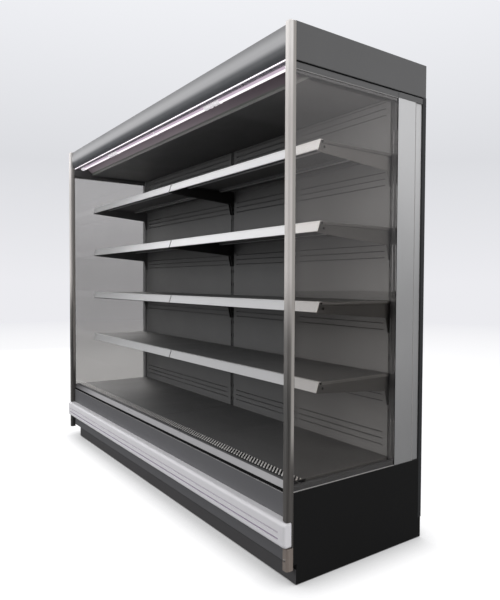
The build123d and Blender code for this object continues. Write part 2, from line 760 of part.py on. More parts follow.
# ---------------------------------------------------------------- back of the bays
def make_rear_panel(side):
    """Air panel between two uprights: rows of fine slots under each level, ledge for the deck."""
    sign = sides[side]
    near = upright_show
    far = inner_half - upright_show
    middle = sign * (near + far) / 2
    top = ceiling_height - rear_panel_top_gap
    column_pitch = (far - near - 2 * vent_margin + vent_bridge) / vent_columns
    levels = [shelf_top(k) - vent_drop for k in range(1, shelf_levels + 1)]
    levels += [ceiling_height - vent_ceiling_drop, deck_height + vent_deck_rise]
    with BuildPart() as panel:
        with BuildSketch(Plane.YZ.offset(middle)):
            folded((rear_face_y - rear_ledge, seat_height), (rear_face_y, seat_height),
                   (rear_face_y, top), side=Side.RIGHT)
        extrude(amount=(far - near) / 2, both=True)
        with BuildSketch(Plane.XZ.offset(-rear_face_y)):
            for height in levels:
                with Locations((middle, height)):
                    with GridLocations(column_pitch, vent_spacing, vent_columns, vent_rows):
                        Rectangle(column_pitch - vent_bridge, vent_slot_height)
        extrude(amount=-sheet, mode=Mode.SUBTRACT)
    save(panel, f"rear_panel_{side}")


def slot_heights():
    """Heights of the lower edges of an upright's slots; every shelf hook meets one."""
    seat = shelf_top(shelf_levels) - hook_drop
    below = int((seat - seat_height - slot_height) // slot_pitch)
    above = int((ceiling_height - seat - 2 * slot_height) // slot_pitch)
    return [seat + k * slot_pitch for k in range(-below, above + 1)]


def make_slotted_uprights():
    """Three slotted channels that carry the shelves, with standoffs to the back wall."""
    bottom = seat_height
    length = ceiling_height - sheet - bottom
    end_x = inner_half - end_upright_width / 2
    channels = ((0, mid_upright_width, (-bracket_inset, bracket_inset)),
                (-end_x, end_upright_width, (-inner_half + bracket_inset,)),
                (end_x, end_upright_width, (inner_half - bracket_inset,)))
    standoffs = [bottom + standoff_margin, bottom + length / 2, bottom + length - standoff_margin]
    with BuildPart() as uprights:
        for x, width, columns in channels:
            with BuildSketch(Plane.XY.offset(bottom)):
                with Locations((x, upright_face_y)):
                    Rectangle(width, upright_depth, align=(Align.CENTER, Align.MIN))
                with Locations((x, upright_face_y + upright_wall)):
                    Rectangle(width - 2 * upright_wall, upright_depth,
                              align=(Align.CENTER, Align.MIN), mode=Mode.SUBTRACT)
            extrude(amount=length)
            with BuildSketch(Plane.XZ.offset(-upright_rear_y)):
                with Locations(*[(x, z) for z in standoffs]):
                    Rectangle(standoff_width + 2 * upright_wall, standoff_height)
            extrude(amount=-(back_wall_y - upright_rear_y))
            with BuildSketch(Plane.XZ.offset(-upright_rear_y)):
                with Locations(*[(x, z) for z in standoffs]):
                    Rectangle(width, standoff_height)
            extrude(amount=upright_wall)
            with BuildSketch(Plane.XZ.offset(-upright_face_y)):
                with Locations(*[(c, z) for c in columns for z in slot_heights()]):
                    Rectangle(slot_width, slot_height, align=(Align.CENTER, Align.MIN))
            extrude(amount=-upright_wall, mode=Mode.SUBTRACT)
    save(uprights, "slotted_uprights")


# ---------------------------------------------------------------- shelves
def shelf_span(sign):
    """Left and right end of a shelf in its bay."""
    ends = (sign * shelf_mid_gap, sign * (inner_half - shelf_end_gap))
    return min(ends), max(ends)


def rail_point(along, proud):
    """A point on a price rail's section, from the shelf's top front edge."""
    lean = math.radians(rail_lean)
    y = -along * math.sin(lean) - proud * math.cos(lean)
    z = -along * math.cos(lean) + proud * math.sin(lean)
    return y, z


def lip_face(depth):
    """Where the front face of a shelf's lip stands, this far behind the price rail's face."""
    return shelf_front_y + (rail_wall + rail_seat_gap + depth) / math.cos(math.radians(rail_lean))


def make_shelf(level, side):
    """Shelf pan: front lip behind the price rail, back and end flanges, ribs beneath."""
    sign = sides[side]
    top = shelf_top(level)
    left, right = shelf_span(sign)
    middle = (left + right) / 2
    inner = right - left - 2 * (2 * bracket_inset + bracket_flange)
    edge_y = lip_face(0)
    lip_y, lip_z = rail_point(shelf_lip, 0)
    first_rib = shelf_front_y + shelf_rib_inset
    last_rib = shelf_rear_y - shelf_rib_inset
    with BuildPart() as shelf:
        with BuildSketch(Plane.YZ.offset(middle)):
            folded((shelf_rear_y, top), (edge_y, top), (edge_y + lip_y, top + lip_z))
        extrude(amount=(right - left) / 2, both=True)
        with BuildSketch(Plane.YZ.offset(middle)):
            folded((shelf_rear_y, top - shelf_back_flange), (shelf_rear_y, top),
                   (shelf_rear_y - shelf_back_flange, top))
            for y in (first_rib, last_rib):
                folded((y - shelf_rib_width / 2, top - sheet / 2),
                       (y - shelf_rib_width / 4, top - shelf_rib_depth),
                       (y + shelf_rib_width / 4, top - shelf_rib_depth),
                       (y + shelf_rib_width / 2, top - sheet / 2))
        extrude(amount=inner / 2, both=True)
        with BuildSketch(Plane.XY.offset(top)):
            for x, align in ((left, Align.MIN), (right, Align.MAX)):
                with Locations((x, edge_y)):
                    Rectangle(sheet, shelf_rear_y - edge_y, align=(align, Align.MIN))
        extrude(amount=-shelf_end_flange)
    save(shelf, f"shelf_{level}_{side}")


def bracket_section(top):
    """Side view of a shelf bracket: tapered arm, hook over the slot's edge, lower tab."""
    seat = top - hook_drop
    edge = upright_face_y - fit_gap
    nose = hook_y + hook_throat
    arm_y = lip_face(sheet + rail_seat_gap)
    lean = math.tan(math.radians(rail_lean))
    relief = (hook_drop - sheet) * math.tan(math.radians(unhook_angle)) + sheet
    tab_top = seat - slot_pitch + (slot_height + tab_height) / 2
    tab_tip = hook_y + tab_length
    outline((arm_y - sheet * lean, top - sheet), (edge - relief, top - sheet),
            (edge, seat + hook_height), (nose + hook_nose / 2, seat + hook_height),
            (nose + hook_nose, seat + hook_height - hook_nose / 2),
            (nose + hook_nose, seat - hook_nose_length), (nose, seat - hook_nose_length),
            (nose, seat + hook_seat_gap), (edge, seat + hook_seat_gap),
            (edge, tab_top), (tab_tip, tab_top), (tab_tip, tab_top - tab_height + tab_bevel),
            (hook_y + tab_length / 2, tab_top - tab_height), (edge, tab_top - tab_height),
            (edge, top - bracket_tail_height), (edge - bracket_tail_length, top - bracket_tail_height),
            (edge - bracket_heel_length, top - bracket_heel_height),
            (arm_y - bracket_front_height * lean, top - bracket_front_height))


def make_shelf_brackets(level, side):
    """The two hooked, tapered brackets that carry one shelf."""
    sign = sides[side]
    top = shelf_top(level)
    flange_y = shelf_front_y + bracket_flange_start
    flange_length = shelf_rear_y - shelf_back_flange - flange_y
    with BuildPart() as brackets:
        for x, inward in ((sign * bracket_inset, sign), (sign * (inner_half - bracket_inset), -sign)):
            with BuildSketch(Plane.YZ.offset(x)):
                bracket_section(top)
            extrude(amount=bracket_thickness / 2, both=True)
            with BuildSketch(Plane.XY.offset(top - sheet)):
                with Locations((x + inward * bracket_flange / 2, flange_y)):
                    Rectangle(bracket_flange, flange_length, align=(Align.CENTER, Align.MIN))
            extrude(amount=-bracket_thickness)
    save(brackets, f"shelf_brackets_{level}_{side}")


def make_price_rail(level, side):
    """Price rail: hooks over the shelf's front edge, with a ridge above and below the label."""
    top = shelf_top(level)
    left, right = shelf_span(sides[side])
    crown = rail_hook_thickness
    marks = ((0, rail_ridge_proud), (rail_ridge, rail_ridge_proud), (rail_ridge, 0),
             (rail_height - rail_ridge, 0), (rail_height - rail_ridge, rail_ridge_proud),
             (rail_height, rail_ridge_proud), (rail_height, -rail_wall))
    front = [rail_point(along, proud) for along, proud in marks]
    with BuildPart() as rail:
        with BuildSketch(Plane.YZ.offset((left + right) / 2)):
            outline((shelf_front_y + rail_hook, top), (shelf_front_y + rail_hook, top + crown),
                    (shelf_front_y + front[0][0], top + crown),
                    *[(shelf_front_y + y, top + z) for y, z in front],
                    (lip_face(-rail_seat_gap), top))
        extrude(amount=(right - left) / 2, both=True)
    save(rail, f"price_rail_{level}_{side}")


# ---------------------------------------------------------------- deck and return grille
def make_deck_pan(side):
    """Lift-out deck pan with flanges all round and cross ribs beneath."""
    sign = sides[side]
    ends = (sign * deck_mid_gap, sign * (inner_half - deck_end_gap))
    left, right = min(ends), max(ends)
    width = deck_rear_y - deck_front_y
    middle_y = (deck_rear_y + deck_front_y) / 2
    count = int((right - left) // deck_rib_spacing)
    with BuildPart() as deck:
        with BuildSketch(Plane.XY.offset(seat_height)):
            with Locations(((left + right) / 2, middle_y)):
                Rectangle(right - left, width)
        extrude(amount=deck_flange)
        offset(amount=-sheet, openings=deck.faces().sort_by(Axis.Z)[0])
        chamfer(deck.edges().group_by(Axis.Z)[-1], length=sheet / 2)
        with BuildSketch(Plane.XY.offset(deck_height - sheet)):
            with Locations(((left + right) / 2, middle_y)):
                with GridLocations(deck_rib_spacing, width, count, 1):
                    Rectangle(deck_rib, width - 2 * sheet)
        extrude(amount=-deck_rib)
    save(deck, f"deck_pan_{side}")


def make_return_grille():
    """Lift-out air grille: a flanged strip with a long row of cross slots."""
    half = inner_half - deck_end_gap
    count = int((2 * half - 2 * grille_slot_pitch) // grille_slot_pitch)
    middle_y = (grille_front_y + grille_rear_y) / 2
    with BuildPart() as grille:
        with BuildSketch(Plane.YZ):
            folded((grille_front_y, seat_height), (grille_front_y, deck_height),
                   (grille_rear_y, deck_height), (grille_rear_y, seat_height),
                   thickness=grille_plate, side=Side.RIGHT)
        extrude(amount=half, both=True)
        with BuildSketch(Plane.XY.offset(deck_height)):
            with Locations((0, middle_y)):
                with GridLocations(grille_slot_pitch, grille_width, count, 1):
                    Rectangle(grille_slot, grille_slot_length)
        extrude(amount=-grille_plate, mode=Mode.SUBTRACT)
    save(grille, "return_grille")


# ---------------------------------------------------------------- fans
def make_fan_plate():
    """Partition that carries the fans and the front edge of the deck."""
    half = inner_half - deck_end_gap
    with BuildPart() as plate:
        with BuildSketch(Plane.YZ):
            folded((fan_plate_y - fan_plate_flange, seat_height), (fan_plate_y + sheet, seat_height),
                   (fan_plate_y + sheet, well_floor), side=Side.RIGHT)
        extrude(amount=half, both=True)
        with BuildSketch(Plane.XZ.offset(-fan_plate_y)):
            with Locations(*[(x, fan_height) for x in fans_x.values()]):
                Circle(fan_radius + fan_tip_gap + bellmouth_wall)
        extrude(amount=bellmouth_depth)
        with BuildSketch(Plane.XZ.offset(-fan_plate_y - sheet)):
            with Locations(*[(x, fan_height) for x in fans_x.values()]):
                Circle(fan_radius + fan_tip_gap)
        extrude(amount=bellmouth_depth + sheet, mode=Mode.SUBTRACT)
    save(plate, "fan_plate")


def make_fan_motors():
    """Two motors on three-armed brackets behind the fan plate."""
    back_y = fan_plate_y + sheet
    arm = fan_radius + fan_tip_gap + spider_reach
    with BuildPart() as motors:
        for x in fans_x.values():
            with BuildSketch(Plane.XZ.offset(-back_y)):
                with Locations((x, fan_height)):
                    with PolarLocations(arm / 2, spider_arms, start_angle=90):
                        Rectangle(arm, spider_width)
            extrude(amount=-spider_thickness)
            with BuildSketch(Plane.XZ.offset(-back_y)):
                with Locations((x, fan_height)):
                    Circle(motor_radius)
            extrude(amount=-motor_length)
            with BuildSketch(Plane.XZ.offset(-back_y)):
                with Locations((x, fan_height)):
                    Circle(shaft_radius)
            extrude(amount=sheet + hub_length)
    save(motors, "fan_motors")


def make_fan_rotor(side):
    """Axial rotor: bored hub and five pitched blades, each a plate with two folds."""
    x = fans_x[side]
    middle_y = fan_plate_y - hub_length / 2
    with BuildPart() as rotor:
        for k in range(blade_count):
            turn = math.radians(360 / blade_count * k)
            outward = Vector(math.cos(turn), 0, math.sin(turn))
            around = Vector(-math.sin(turn), 0, math.cos(turn))
            lean = math.radians(blade_pitch)
            chord = around * math.cos(lean) + Vector(0, math.sin(lean), 0)
            root = Vector(x, middle_y, fan_height) + outward * hub_radius / 2
            with BuildSketch(Plane(root, x_dir=chord, z_dir=outward)):
                folded((-blade_chord / 2, 0), (-blade_crown / 2, blade_camber),
                       (blade_crown / 2, blade_camber), (blade_chord / 2, 0), thickness=blade_thickness)
            extrude(amount=fan_radius - hub_radius / 2)
        with BuildSketch(Plane.XZ.offset(-fan_plate_y)):
            with Locations((x, fan_height)):
                Circle(hub_radius)
        extrude(amount=hub_length)
        with BuildSketch(Plane.XZ.offset(-fan_plate_y)):
            with Locations((x, fan_height)):
                Circle(shaft_radius + shaft_clearance)
        extrude(amount=hub_length, mode=Mode.SUBTRACT)
    save(rotor, f"fan_rotor_{side}")


# ---------------------------------------------------------------- evaporator coil
def bend_points(centre, start, across_bend, angle, count):
    """Points along a bend drawn with straight pieces, from the start point round the centre."""
    arm = start - centre
    turns = [math.radians(angle * k / count) for k in range(count + 1)]
    return [centre + arm * math.cos(turn) + across_bend * math.sin(turn) for turn in turns]


def tube(points, radius):
    """A tube with flats along a line of points."""
    with BuildLine(mode=Mode.PRIVATE) as path:
        Polyline(*points)
    with BuildSketch(Plane(points[0], z_dir=points[1] - points[0]), mode=Mode.PRIVATE) as section:
        RegularPolygon(radius, tube_faces)
    sweep(section.sketch, path=path.wires()[0], transition=Transition.RIGHT)


def coil_pipe(y, z, radius):
    """A pipe that leaves the coil's right end and turns down through the floor."""
    elbow = Vector(coil_half_length + pipe_run, y, z)
    centre = elbow - Vector(0, 0, pipe_bend)
    corner = bend_points(centre, elbow, Vector(pipe_bend, 0, 0), 90, bend_count)
    tube([Vector(coil_half_length, y, z), *corner, Vector(pipe_x, y, underside - pipe_stub_length)], radius)


def make_evaporator():
    """Fin block on a tray, return bends at both ends and the two pipes that leave the well."""
    fins = int(2 * coil_half_length // coil_fin_pitch)
    tiers = (coil_middle_height - coil_tier_pitch / 2, coil_middle_height + coil_tier_pitch / 2)
    with BuildPart() as coil:
        with BuildSketch(Plane.XY.offset(well_floor)):
            with Locations((0, coil_middle_y)):
                Rectangle(2 * coil_half_length, coil_depth)
        extrude(amount=coil_base)
        with BuildSketch(Plane.XY.offset(well_floor + coil_base)):
            with Locations((0, coil_middle_y)):
                with GridLocations(coil_fin_pitch, coil_depth, fins, 1):
                    Rectangle(coil_fin, coil_depth)
            with GridLocations(2 * coil_half_length - coil_fin, 0, 2, 1):
                with Locations((0, coil_middle_y)):
                    Rectangle(coil_fin, coil_depth)
        extrude(amount=coil_height - coil_base)
        for z in tiers:
            for sign in sides.values():
                centre = Vector(sign * coil_half_length, coil_middle_y - sign * coil_tube_spacing / 2, z)
                start = centre - Vector(0, coil_tube_spacing / 2, 0)
                bulge = Vector(sign * coil_tube_spacing / 2, 0, 0)
                tube(bend_points(centre, start, bulge, 180, 2 * bend_count), coil_tube_radius)
        coil_pipe(suction_y, tiers[1], suction_radius)
        coil_pipe(liquid_y, tiers[0], liquid_radius)
    save(coil, "evaporator")


def main():
    """Builds every piece and writes it to its own file."""
    os.makedirs("parts", exist_ok=True)
    make_levelling_feet()
    make_base_frame()
    make_base_tub()
    make_kick_plate()
    make_front_panel()
    make_bumper()
    make_front_sill()
    make_back_wall()
    make_canopy_roof()
    make_canopy_fascia()
    make_air_honeycomb()
    make_lamp_housing()
    make_canopy_ceiling()
    make_lamp_tubes()
    make_lamp_holders()
    make_slotted_uprights()
    make_return_grille()
    make_fan_plate()
    make_fan_motors()
    make_evaporator()
    for side in sides:
        make_front_post(side)
        make_end_base_panel(side)
        make_end_top_panel(side)
        make_end_glass(side)
        make_end_rear_cover(side)
        make_rear_panel(side)
        make_deck_pan(side)
        make_fan_rotor(side)
        for level in range(1, shelf_levels + 1):
            make_shelf(level, side)
            make_shelf_brackets(level, side)
            make_price_rail(level, side)


main()
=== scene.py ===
import json
import logging
import math
from dataclasses import dataclass
from enum import Enum
from typing import Callable, Iterable, Sequence, Union

import bmesh
import bpy
from mathutils import Euler, Matrix, Vector


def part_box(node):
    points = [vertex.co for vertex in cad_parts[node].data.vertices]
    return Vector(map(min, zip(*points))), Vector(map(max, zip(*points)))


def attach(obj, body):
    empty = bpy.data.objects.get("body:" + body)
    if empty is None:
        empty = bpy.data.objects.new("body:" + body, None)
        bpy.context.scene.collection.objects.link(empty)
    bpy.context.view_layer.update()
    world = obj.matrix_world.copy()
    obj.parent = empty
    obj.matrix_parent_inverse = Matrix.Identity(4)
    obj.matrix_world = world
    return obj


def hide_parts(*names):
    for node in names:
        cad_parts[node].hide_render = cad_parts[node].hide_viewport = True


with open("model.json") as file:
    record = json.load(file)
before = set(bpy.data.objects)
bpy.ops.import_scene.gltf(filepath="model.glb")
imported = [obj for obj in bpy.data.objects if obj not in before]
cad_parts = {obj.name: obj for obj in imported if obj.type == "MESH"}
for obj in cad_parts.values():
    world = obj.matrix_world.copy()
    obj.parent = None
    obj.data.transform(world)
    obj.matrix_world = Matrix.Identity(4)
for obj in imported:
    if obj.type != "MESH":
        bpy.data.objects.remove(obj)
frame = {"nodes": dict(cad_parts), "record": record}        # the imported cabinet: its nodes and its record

# Looks of an open multideck display fridge. Metres, in the frame of the imported cabinet:
# +X runs along the front to the right, +Y to the back, +Z up, the floor is at zero.

LOG = logging.getLogger("display_fridge")
SIDES = ("left", "right")
SHELF_LEVELS = (1, 2, 3, 4)
CABINET = "cabinet"
UPWARD = (0.0, 0.0, 1.0)
DOWNWARD = (0.0, 0.0, -1.0)
LEFTWARD = (-1.0, 0.0, 0.0)
RIGHTWARD = (1.0, 0.0, 0.0)
BACKWARD = (0.0, 1.0, 0.0)

Colour = tuple[float, float, float, float]
Socket = bpy.types.NodeSocket
Node = bpy.types.Node
Value = Union[float, int, bool, Colour, tuple[float, float, float], Vector, Socket, bpy.types.ID]


def tone(code: str) -> Colour:
    """Turns a display colour such as "#9a9a9a" into linear light.

    Args:
        code: Six hexadecimal digits after a hash.

    Returns:
        Red, green, blue and an alpha of one.
    """
    channels = [int(code[k:k + 2], 16) / 255 for k in (1, 3, 5)]
    linear = [c / 12.92 if c <= 0.04045 else ((c + 0.055) / 1.055) ** 2.4 for c in channels]
    return (linear[0], linear[1], linear[2], 1.0)


def scaled(colour: Colour, factor: float) -> Colour:
    """A colour made lighter or darker by a factor, and never past white."""
    return (*[min(1.0, channel * factor) for channel in colour[:3]], 1.0)


# ---------------------------------------------------------------- node trees
class Graph:
    """A node tree while it is drawn: adds nodes, fills their sockets and joins them."""

    def __init__(self, tree: bpy.types.NodeTree) -> None:
        """Starts on an empty tree."""
        self.tree = tree

    def add(self, kind: str, inputs: Union[dict[Union[str, int], Value], None] = None,
            **settings: object) -> Node:
        """Adds a node.

        Args:
            kind: The node's type.
            inputs: Values or sockets for its inputs, by name or number.
            settings: Properties of the node itself.

        Returns:
            The new node.
        """
        node = self.tree.nodes.new(kind)
        for name, value in settings.items():
            setattr(node, name, value)
        for name, value in (inputs or {}).items():
            self.fill(node.inputs[name], value)
        return node

    def fill(self, socket: Socket, value: Value) -> None:
        """Joins a socket to another, or gives it a plain value.

        Args:
            socket: The input to fill.
            value: A socket to join it to, or the value.
        """
        if isinstance(value, bpy.types.NodeSocket):
            self.tree.links.new(value, socket)
        else:
            socket.default_value = value

    def math(self, operation: str, first: Value, second: Value) -> Socket:
        """The result of a Math node on two values."""
        return self.add("ShaderNodeMath", {0: first, 1: second}, operation=operation).outputs[0]

    def mix(self, factor: Value, first: Value, second: Value) -> Socket:
        """The result of a colour Mix node.

        Args:
            factor: Nought for the first colour, one for the second.
            first: The first colour.
            second: The second colour.

        Returns:
            The mixed colour's socket.
        """
        node = self.add("ShaderNodeMix", data_type="RGBA")
        colours = [socket for socket in node.inputs if socket.type == "RGBA"]
        self.fill(node.inputs[0], factor)
        self.fill(colours[0], first)
        self.fill(colours[1], second)
        return next(socket for socket in node.outputs if socket.type == "RGBA")

    def remap(self, value: Value, low: float, high: float, to_low: float = 0.0,
              to_high: float = 1.0) -> Socket:
        """A value carried from one range to another, and held to the second."""
        inputs = {"Value": value, "From Min": low, "From Max": high, "To Min": to_low, "To Max": to_high}
        return self.add("ShaderNodeMapRange", inputs, clamp=True).outputs[0]


@dataclass(frozen=True)
class SocketPlan:
    """One named socket of an effect."""

    name: str
    kind: str
    default: Union[float, Sequence[float], None] = None


def effect(name: str, inputs: Sequence[SocketPlan], outputs: Sequence[SocketPlan],
           draw: Callable[[Graph, Node, Node], None]) -> bpy.types.NodeTree:
    """Builds a shader node group once.

    Args:
        name: The group's name.
        inputs: Its input sockets with their defaults.
        outputs: Its output sockets.
        draw: Fills the tree, from its input node to its output node.

    Returns:
        The group, new or made before.
    """
    made = bpy.data.node_groups.get(name)
    if made:
        return made
    tree = bpy.data.node_groups.new(name, "ShaderNodeTree")
    for direction, plans in (("INPUT", inputs), ("OUTPUT", outputs)):
        for plan in plans:
            socket = tree.interface.new_socket(plan.name, in_out=direction, socket_type=plan.kind)
            if plan.default is not None:
                socket.default_value = plan.default
    graph = Graph(tree)
    draw(graph, graph.add("NodeGroupInput"), graph.add("NodeGroupOutput"))
    return tree


FLOAT = "NodeSocketFloat"
VECTOR = "NodeSocketVector"


def surface_grain() -> bpy.types.NodeTree:
    """Noise stretched along one way: brushing, drawn metal or a coat's texture, as a mask and a height.

    Returns:
        The effect's node group.
    """

    def draw(graph: Graph, given: Node, result: Node) -> None:
        """Two layers of noise, one fine and one ten times as wide.

        Args:
            graph: The tree to draw in.
            given: The group's input node.
            result: Its output node.
        """
        place = graph.add("ShaderNodeTexCoord").outputs["Object"]
        spread = graph.add("ShaderNodeVectorMath", {0: place, 1: given.outputs["Stretch"]},
                           operation="MULTIPLY")
        fine = graph.add("ShaderNodeTexNoise", {"Vector": spread.outputs[0], "Scale": 1.0, "Detail": 2.0})
        broad = graph.add("ShaderNodeTexNoise", {"Vector": spread.outputs[0], "Scale": 0.1, "Detail": 1.0})
        both = graph.math("ADD", graph.math("MULTIPLY", fine.outputs["Fac"], 0.65),
                          graph.math("MULTIPLY", broad.outputs["Fac"], 0.35))
        graph.fill(result.inputs["Mask"], graph.remap(both, 0.3, 0.7))
        graph.fill(result.inputs["Height"], fine.outputs["Fac"])

    return effect("surface_grain", (SocketPlan("Stretch", VECTOR, (300.0, 300.0, 300.0)),),
                  (SocketPlan("Mask", FLOAT), SocketPlan("Height", FLOAT)), draw)


def handling() -> bpy.types.NodeTree:
    """Wide soft patches where a surface has been wiped or touched.

    Returns:
        The effect's node group.
    """

    def draw(graph: Graph, given: Node, result: Node) -> None:
        """One warped noise, sharpened.

        Args:
            graph: The tree to draw in.
            given: The group's input node.
            result: Its output node.
        """
        place = graph.add("ShaderNodeTexCoord").outputs["Object"]
        noise = graph.add("ShaderNodeTexNoise", {"Vector": place, "Scale": given.outputs["Scale"],
                                                 "Detail": 4.0, "Distortion": 0.6})
        graph.fill(result.inputs["Mask"], graph.remap(noise.outputs["Fac"], 0.35, 0.72))

    return effect("handling", (SocketPlan("Scale", FLOAT, 4.0),), (SocketPlan("Mask", FLOAT),), draw)


def broken_edges() -> bpy.types.NodeTree:
    """Slightly rounded edges: the normal that they shade with, and a mask that is one along them.

    Returns:
        The effect's node group.
    """

    def draw(graph: Graph, given: Node, result: Node) -> None:
        """Compares a rounded normal with the flat one.

        Args:
            graph: The tree to draw in.
            given: The group's input node.
            result: Its output node.
        """
        rounded = graph.add("ShaderNodeBevel", {"Radius": given.outputs["Radius"]}, samples=4)
        flat = graph.add("ShaderNodeNewGeometry").outputs["Normal"]
        likeness = graph.add("ShaderNodeVectorMath", {0: rounded.outputs[0], 1: flat},
                             operation="DOT_PRODUCT")
        graph.fill(result.inputs["Normal"], rounded.outputs[0])
        graph.fill(result.inputs["Mask"], graph.remap(likeness.outputs["Value"], 0.995, 0.86))

    return effect("broken_edges", (SocketPlan("Radius", FLOAT, 0.001),),
                  (SocketPlan("Normal", VECTOR), SocketPlan("Mask", FLOAT)), draw)


def settled_dust() -> bpy.types.NodeTree:
    """A thin uneven film on what faces up.

    Returns:
        The effect's node group.
    """

    def draw(graph: Graph, given: Node, result: Node) -> None:
        """The upward share of the normal, broken up by noise.

        Args:
            graph: The tree to draw in.
            given: The group's input node.
            result: Its output node.
        """
        normal = graph.add("ShaderNodeNewGeometry").outputs["Normal"]
        upward = graph.add("ShaderNodeSeparateXYZ", {0: normal}).outputs["Z"]
        place = graph.add("ShaderNodeTexCoord").outputs["Object"]
        noise = graph.add("ShaderNodeTexNoise", {"Vector": place, "Scale": 9.0, "Detail": 5.0})
        uneven = graph.remap(noise.outputs["Fac"], 0.3, 0.8)
        film = graph.math("MULTIPLY", graph.remap(upward, 0.6, 1.0), uneven)
        graph.fill(result.inputs["Mask"], graph.math("MULTIPLY", film, given.outputs["Amount"]))

    return effect("settled_dust", (SocketPlan("Amount", FLOAT, 0.1),), (SocketPlan("Mask", FLOAT),), draw)


def tone_along() -> bpy.types.NodeTree:
    """A slow change of tone from one place to another: one at the far place, nought at the near one.

    Returns:
        The effect's node group.
    """

    def draw(graph: Graph, given: Node, result: Node) -> None:
        """The place's share of the way along a direction.

        Args:
            graph: The tree to draw in.
            given: The group's input node.
            result: Its output node.
        """
        place = graph.add("ShaderNodeTexCoord").outputs["Object"]
        reach = graph.add("ShaderNodeVectorMath", {0: place, 1: given.outputs["Direction"]},
                          operation="DOT_PRODUCT")
        inputs = {"Value": reach.outputs["Value"], "From Min": given.outputs["Near"],
                  "From Max": given.outputs["Far"], "To Min": 0.0, "To Max": 1.0}
        share = graph.add("ShaderNodeMapRange", inputs, interpolation_type="SMOOTHSTEP")
        graph.fill(result.inputs["Mask"], share.outputs[0])

    return effect("tone_along", (SocketPlan("Direction", VECTOR, UPWARD), SocketPlan("Near", FLOAT, 0.0),
                                 SocketPlan("Far", FLOAT, 1.0)), (SocketPlan("Mask", FLOAT),), draw)


# ---------------------------------------------------------------- finishes
@dataclass(frozen=True)
class Drift:
    """A slow change of tone along a direction, between two places in metres; most of the cabinet's drifts paint light
    and shade into a colour.
    """

    direction: tuple[float, float, float]
    near: float
    far: float
    colour: str
    side: float = 0.0              # below nought only on the left, above it only on the right


class Dressing:
    """A material while it is drawn, with the effects placed in it."""

    MIDDLE_BLEND = 0.0001          # metres over which a tone changes at the cabinet's middle

    def __init__(self, name: str) -> None:
        """Makes an empty material with its shader.

        Args:
            name: The material's name.
        """
        self.material = bpy.data.materials.new(name)
        self.material.use_nodes = True
        self.graph = Graph(self.material.node_tree)
        self.shader = self.material.node_tree.nodes["Principled BSDF"]
        self.output = self.material.node_tree.nodes["Material Output"]

    def place(self, group: bpy.types.NodeTree, **inputs: Value) -> Node:
        """Places an effect with its own values.

        Args:
            group: The effect.
            inputs: Values by the names of its sockets.

        Returns:
            The group's node.
        """
        node = self.graph.add("ShaderNodeGroup", node_tree=group)
        for name, value in inputs.items():
            self.graph.fill(node.inputs[name], value)
        return node

    def constant(self, **values: Value) -> None:
        """Sets plain values on the shader; an underscore stands for a space."""
        for name, value in values.items():
            self.shader.inputs[name.replace("_", " ")].default_value = value

    def drive(self, name: str, value: Socket) -> None:
        """Joins one of the shader's inputs to a value that varies."""
        self.graph.fill(self.shader.inputs[name], value)

    def drifted(self, colour: Value, drifts: Sequence[Drift]) -> Value:
        """A colour after its slow changes of tone.

        Args:
            colour: The colour to start from.
            drifts: The changes, in the order they apply.

        Returns:
            The changed colour, or the same one where there are no changes.
        """
        for drift in drifts:
            share = self.place(tone_along(), Direction=drift.direction, Near=drift.near, Far=drift.far)
            mask = share.outputs["Mask"]
            if drift.side:
                half = self.place(tone_along(), Direction=(drift.side, 0.0, 0.0), Near=0.0,
                                  Far=self.MIDDLE_BLEND)
                mask = self.graph.math("MULTIPLY", mask, half.outputs["Mask"])
            colour = self.graph.mix(mask, colour, tone(drift.colour))
        return colour

    def toward(self, colour: Value, mask: Socket, amount: float, other: Colour) -> Socket:
        """A colour carried some way to another one where a mask is bright."""
        return self.graph.mix(self.graph.math("MULTIPLY", mask, amount), colour, other)

    def roughen(self, level: Socket, grain: Node, amount: float) -> None:
        """Sets the roughness to a level, raised a little by the grain."""
        raised = self.graph.math("MULTIPLY", grain.outputs["Mask"], amount)
        self.drive("Roughness", self.graph.math("ADD", raised, level))

    def emboss(self, grain: Node, edges: Node, strength: float, distance: float) -> None:
        """Shades with the rounded edges and the grain's height.

        Args:
            grain: The grain's node.
            edges: The rounded edges' node.
            strength: How strongly the grain shows.
            distance: Its height in metres.
        """
        inputs = {"Height": grain.outputs["Height"], "Normal": edges.outputs["Normal"],
                  "Strength": strength, "Distance": distance}
        self.drive("Normal", self.graph.add("ShaderNodeBump", inputs).outputs[0])


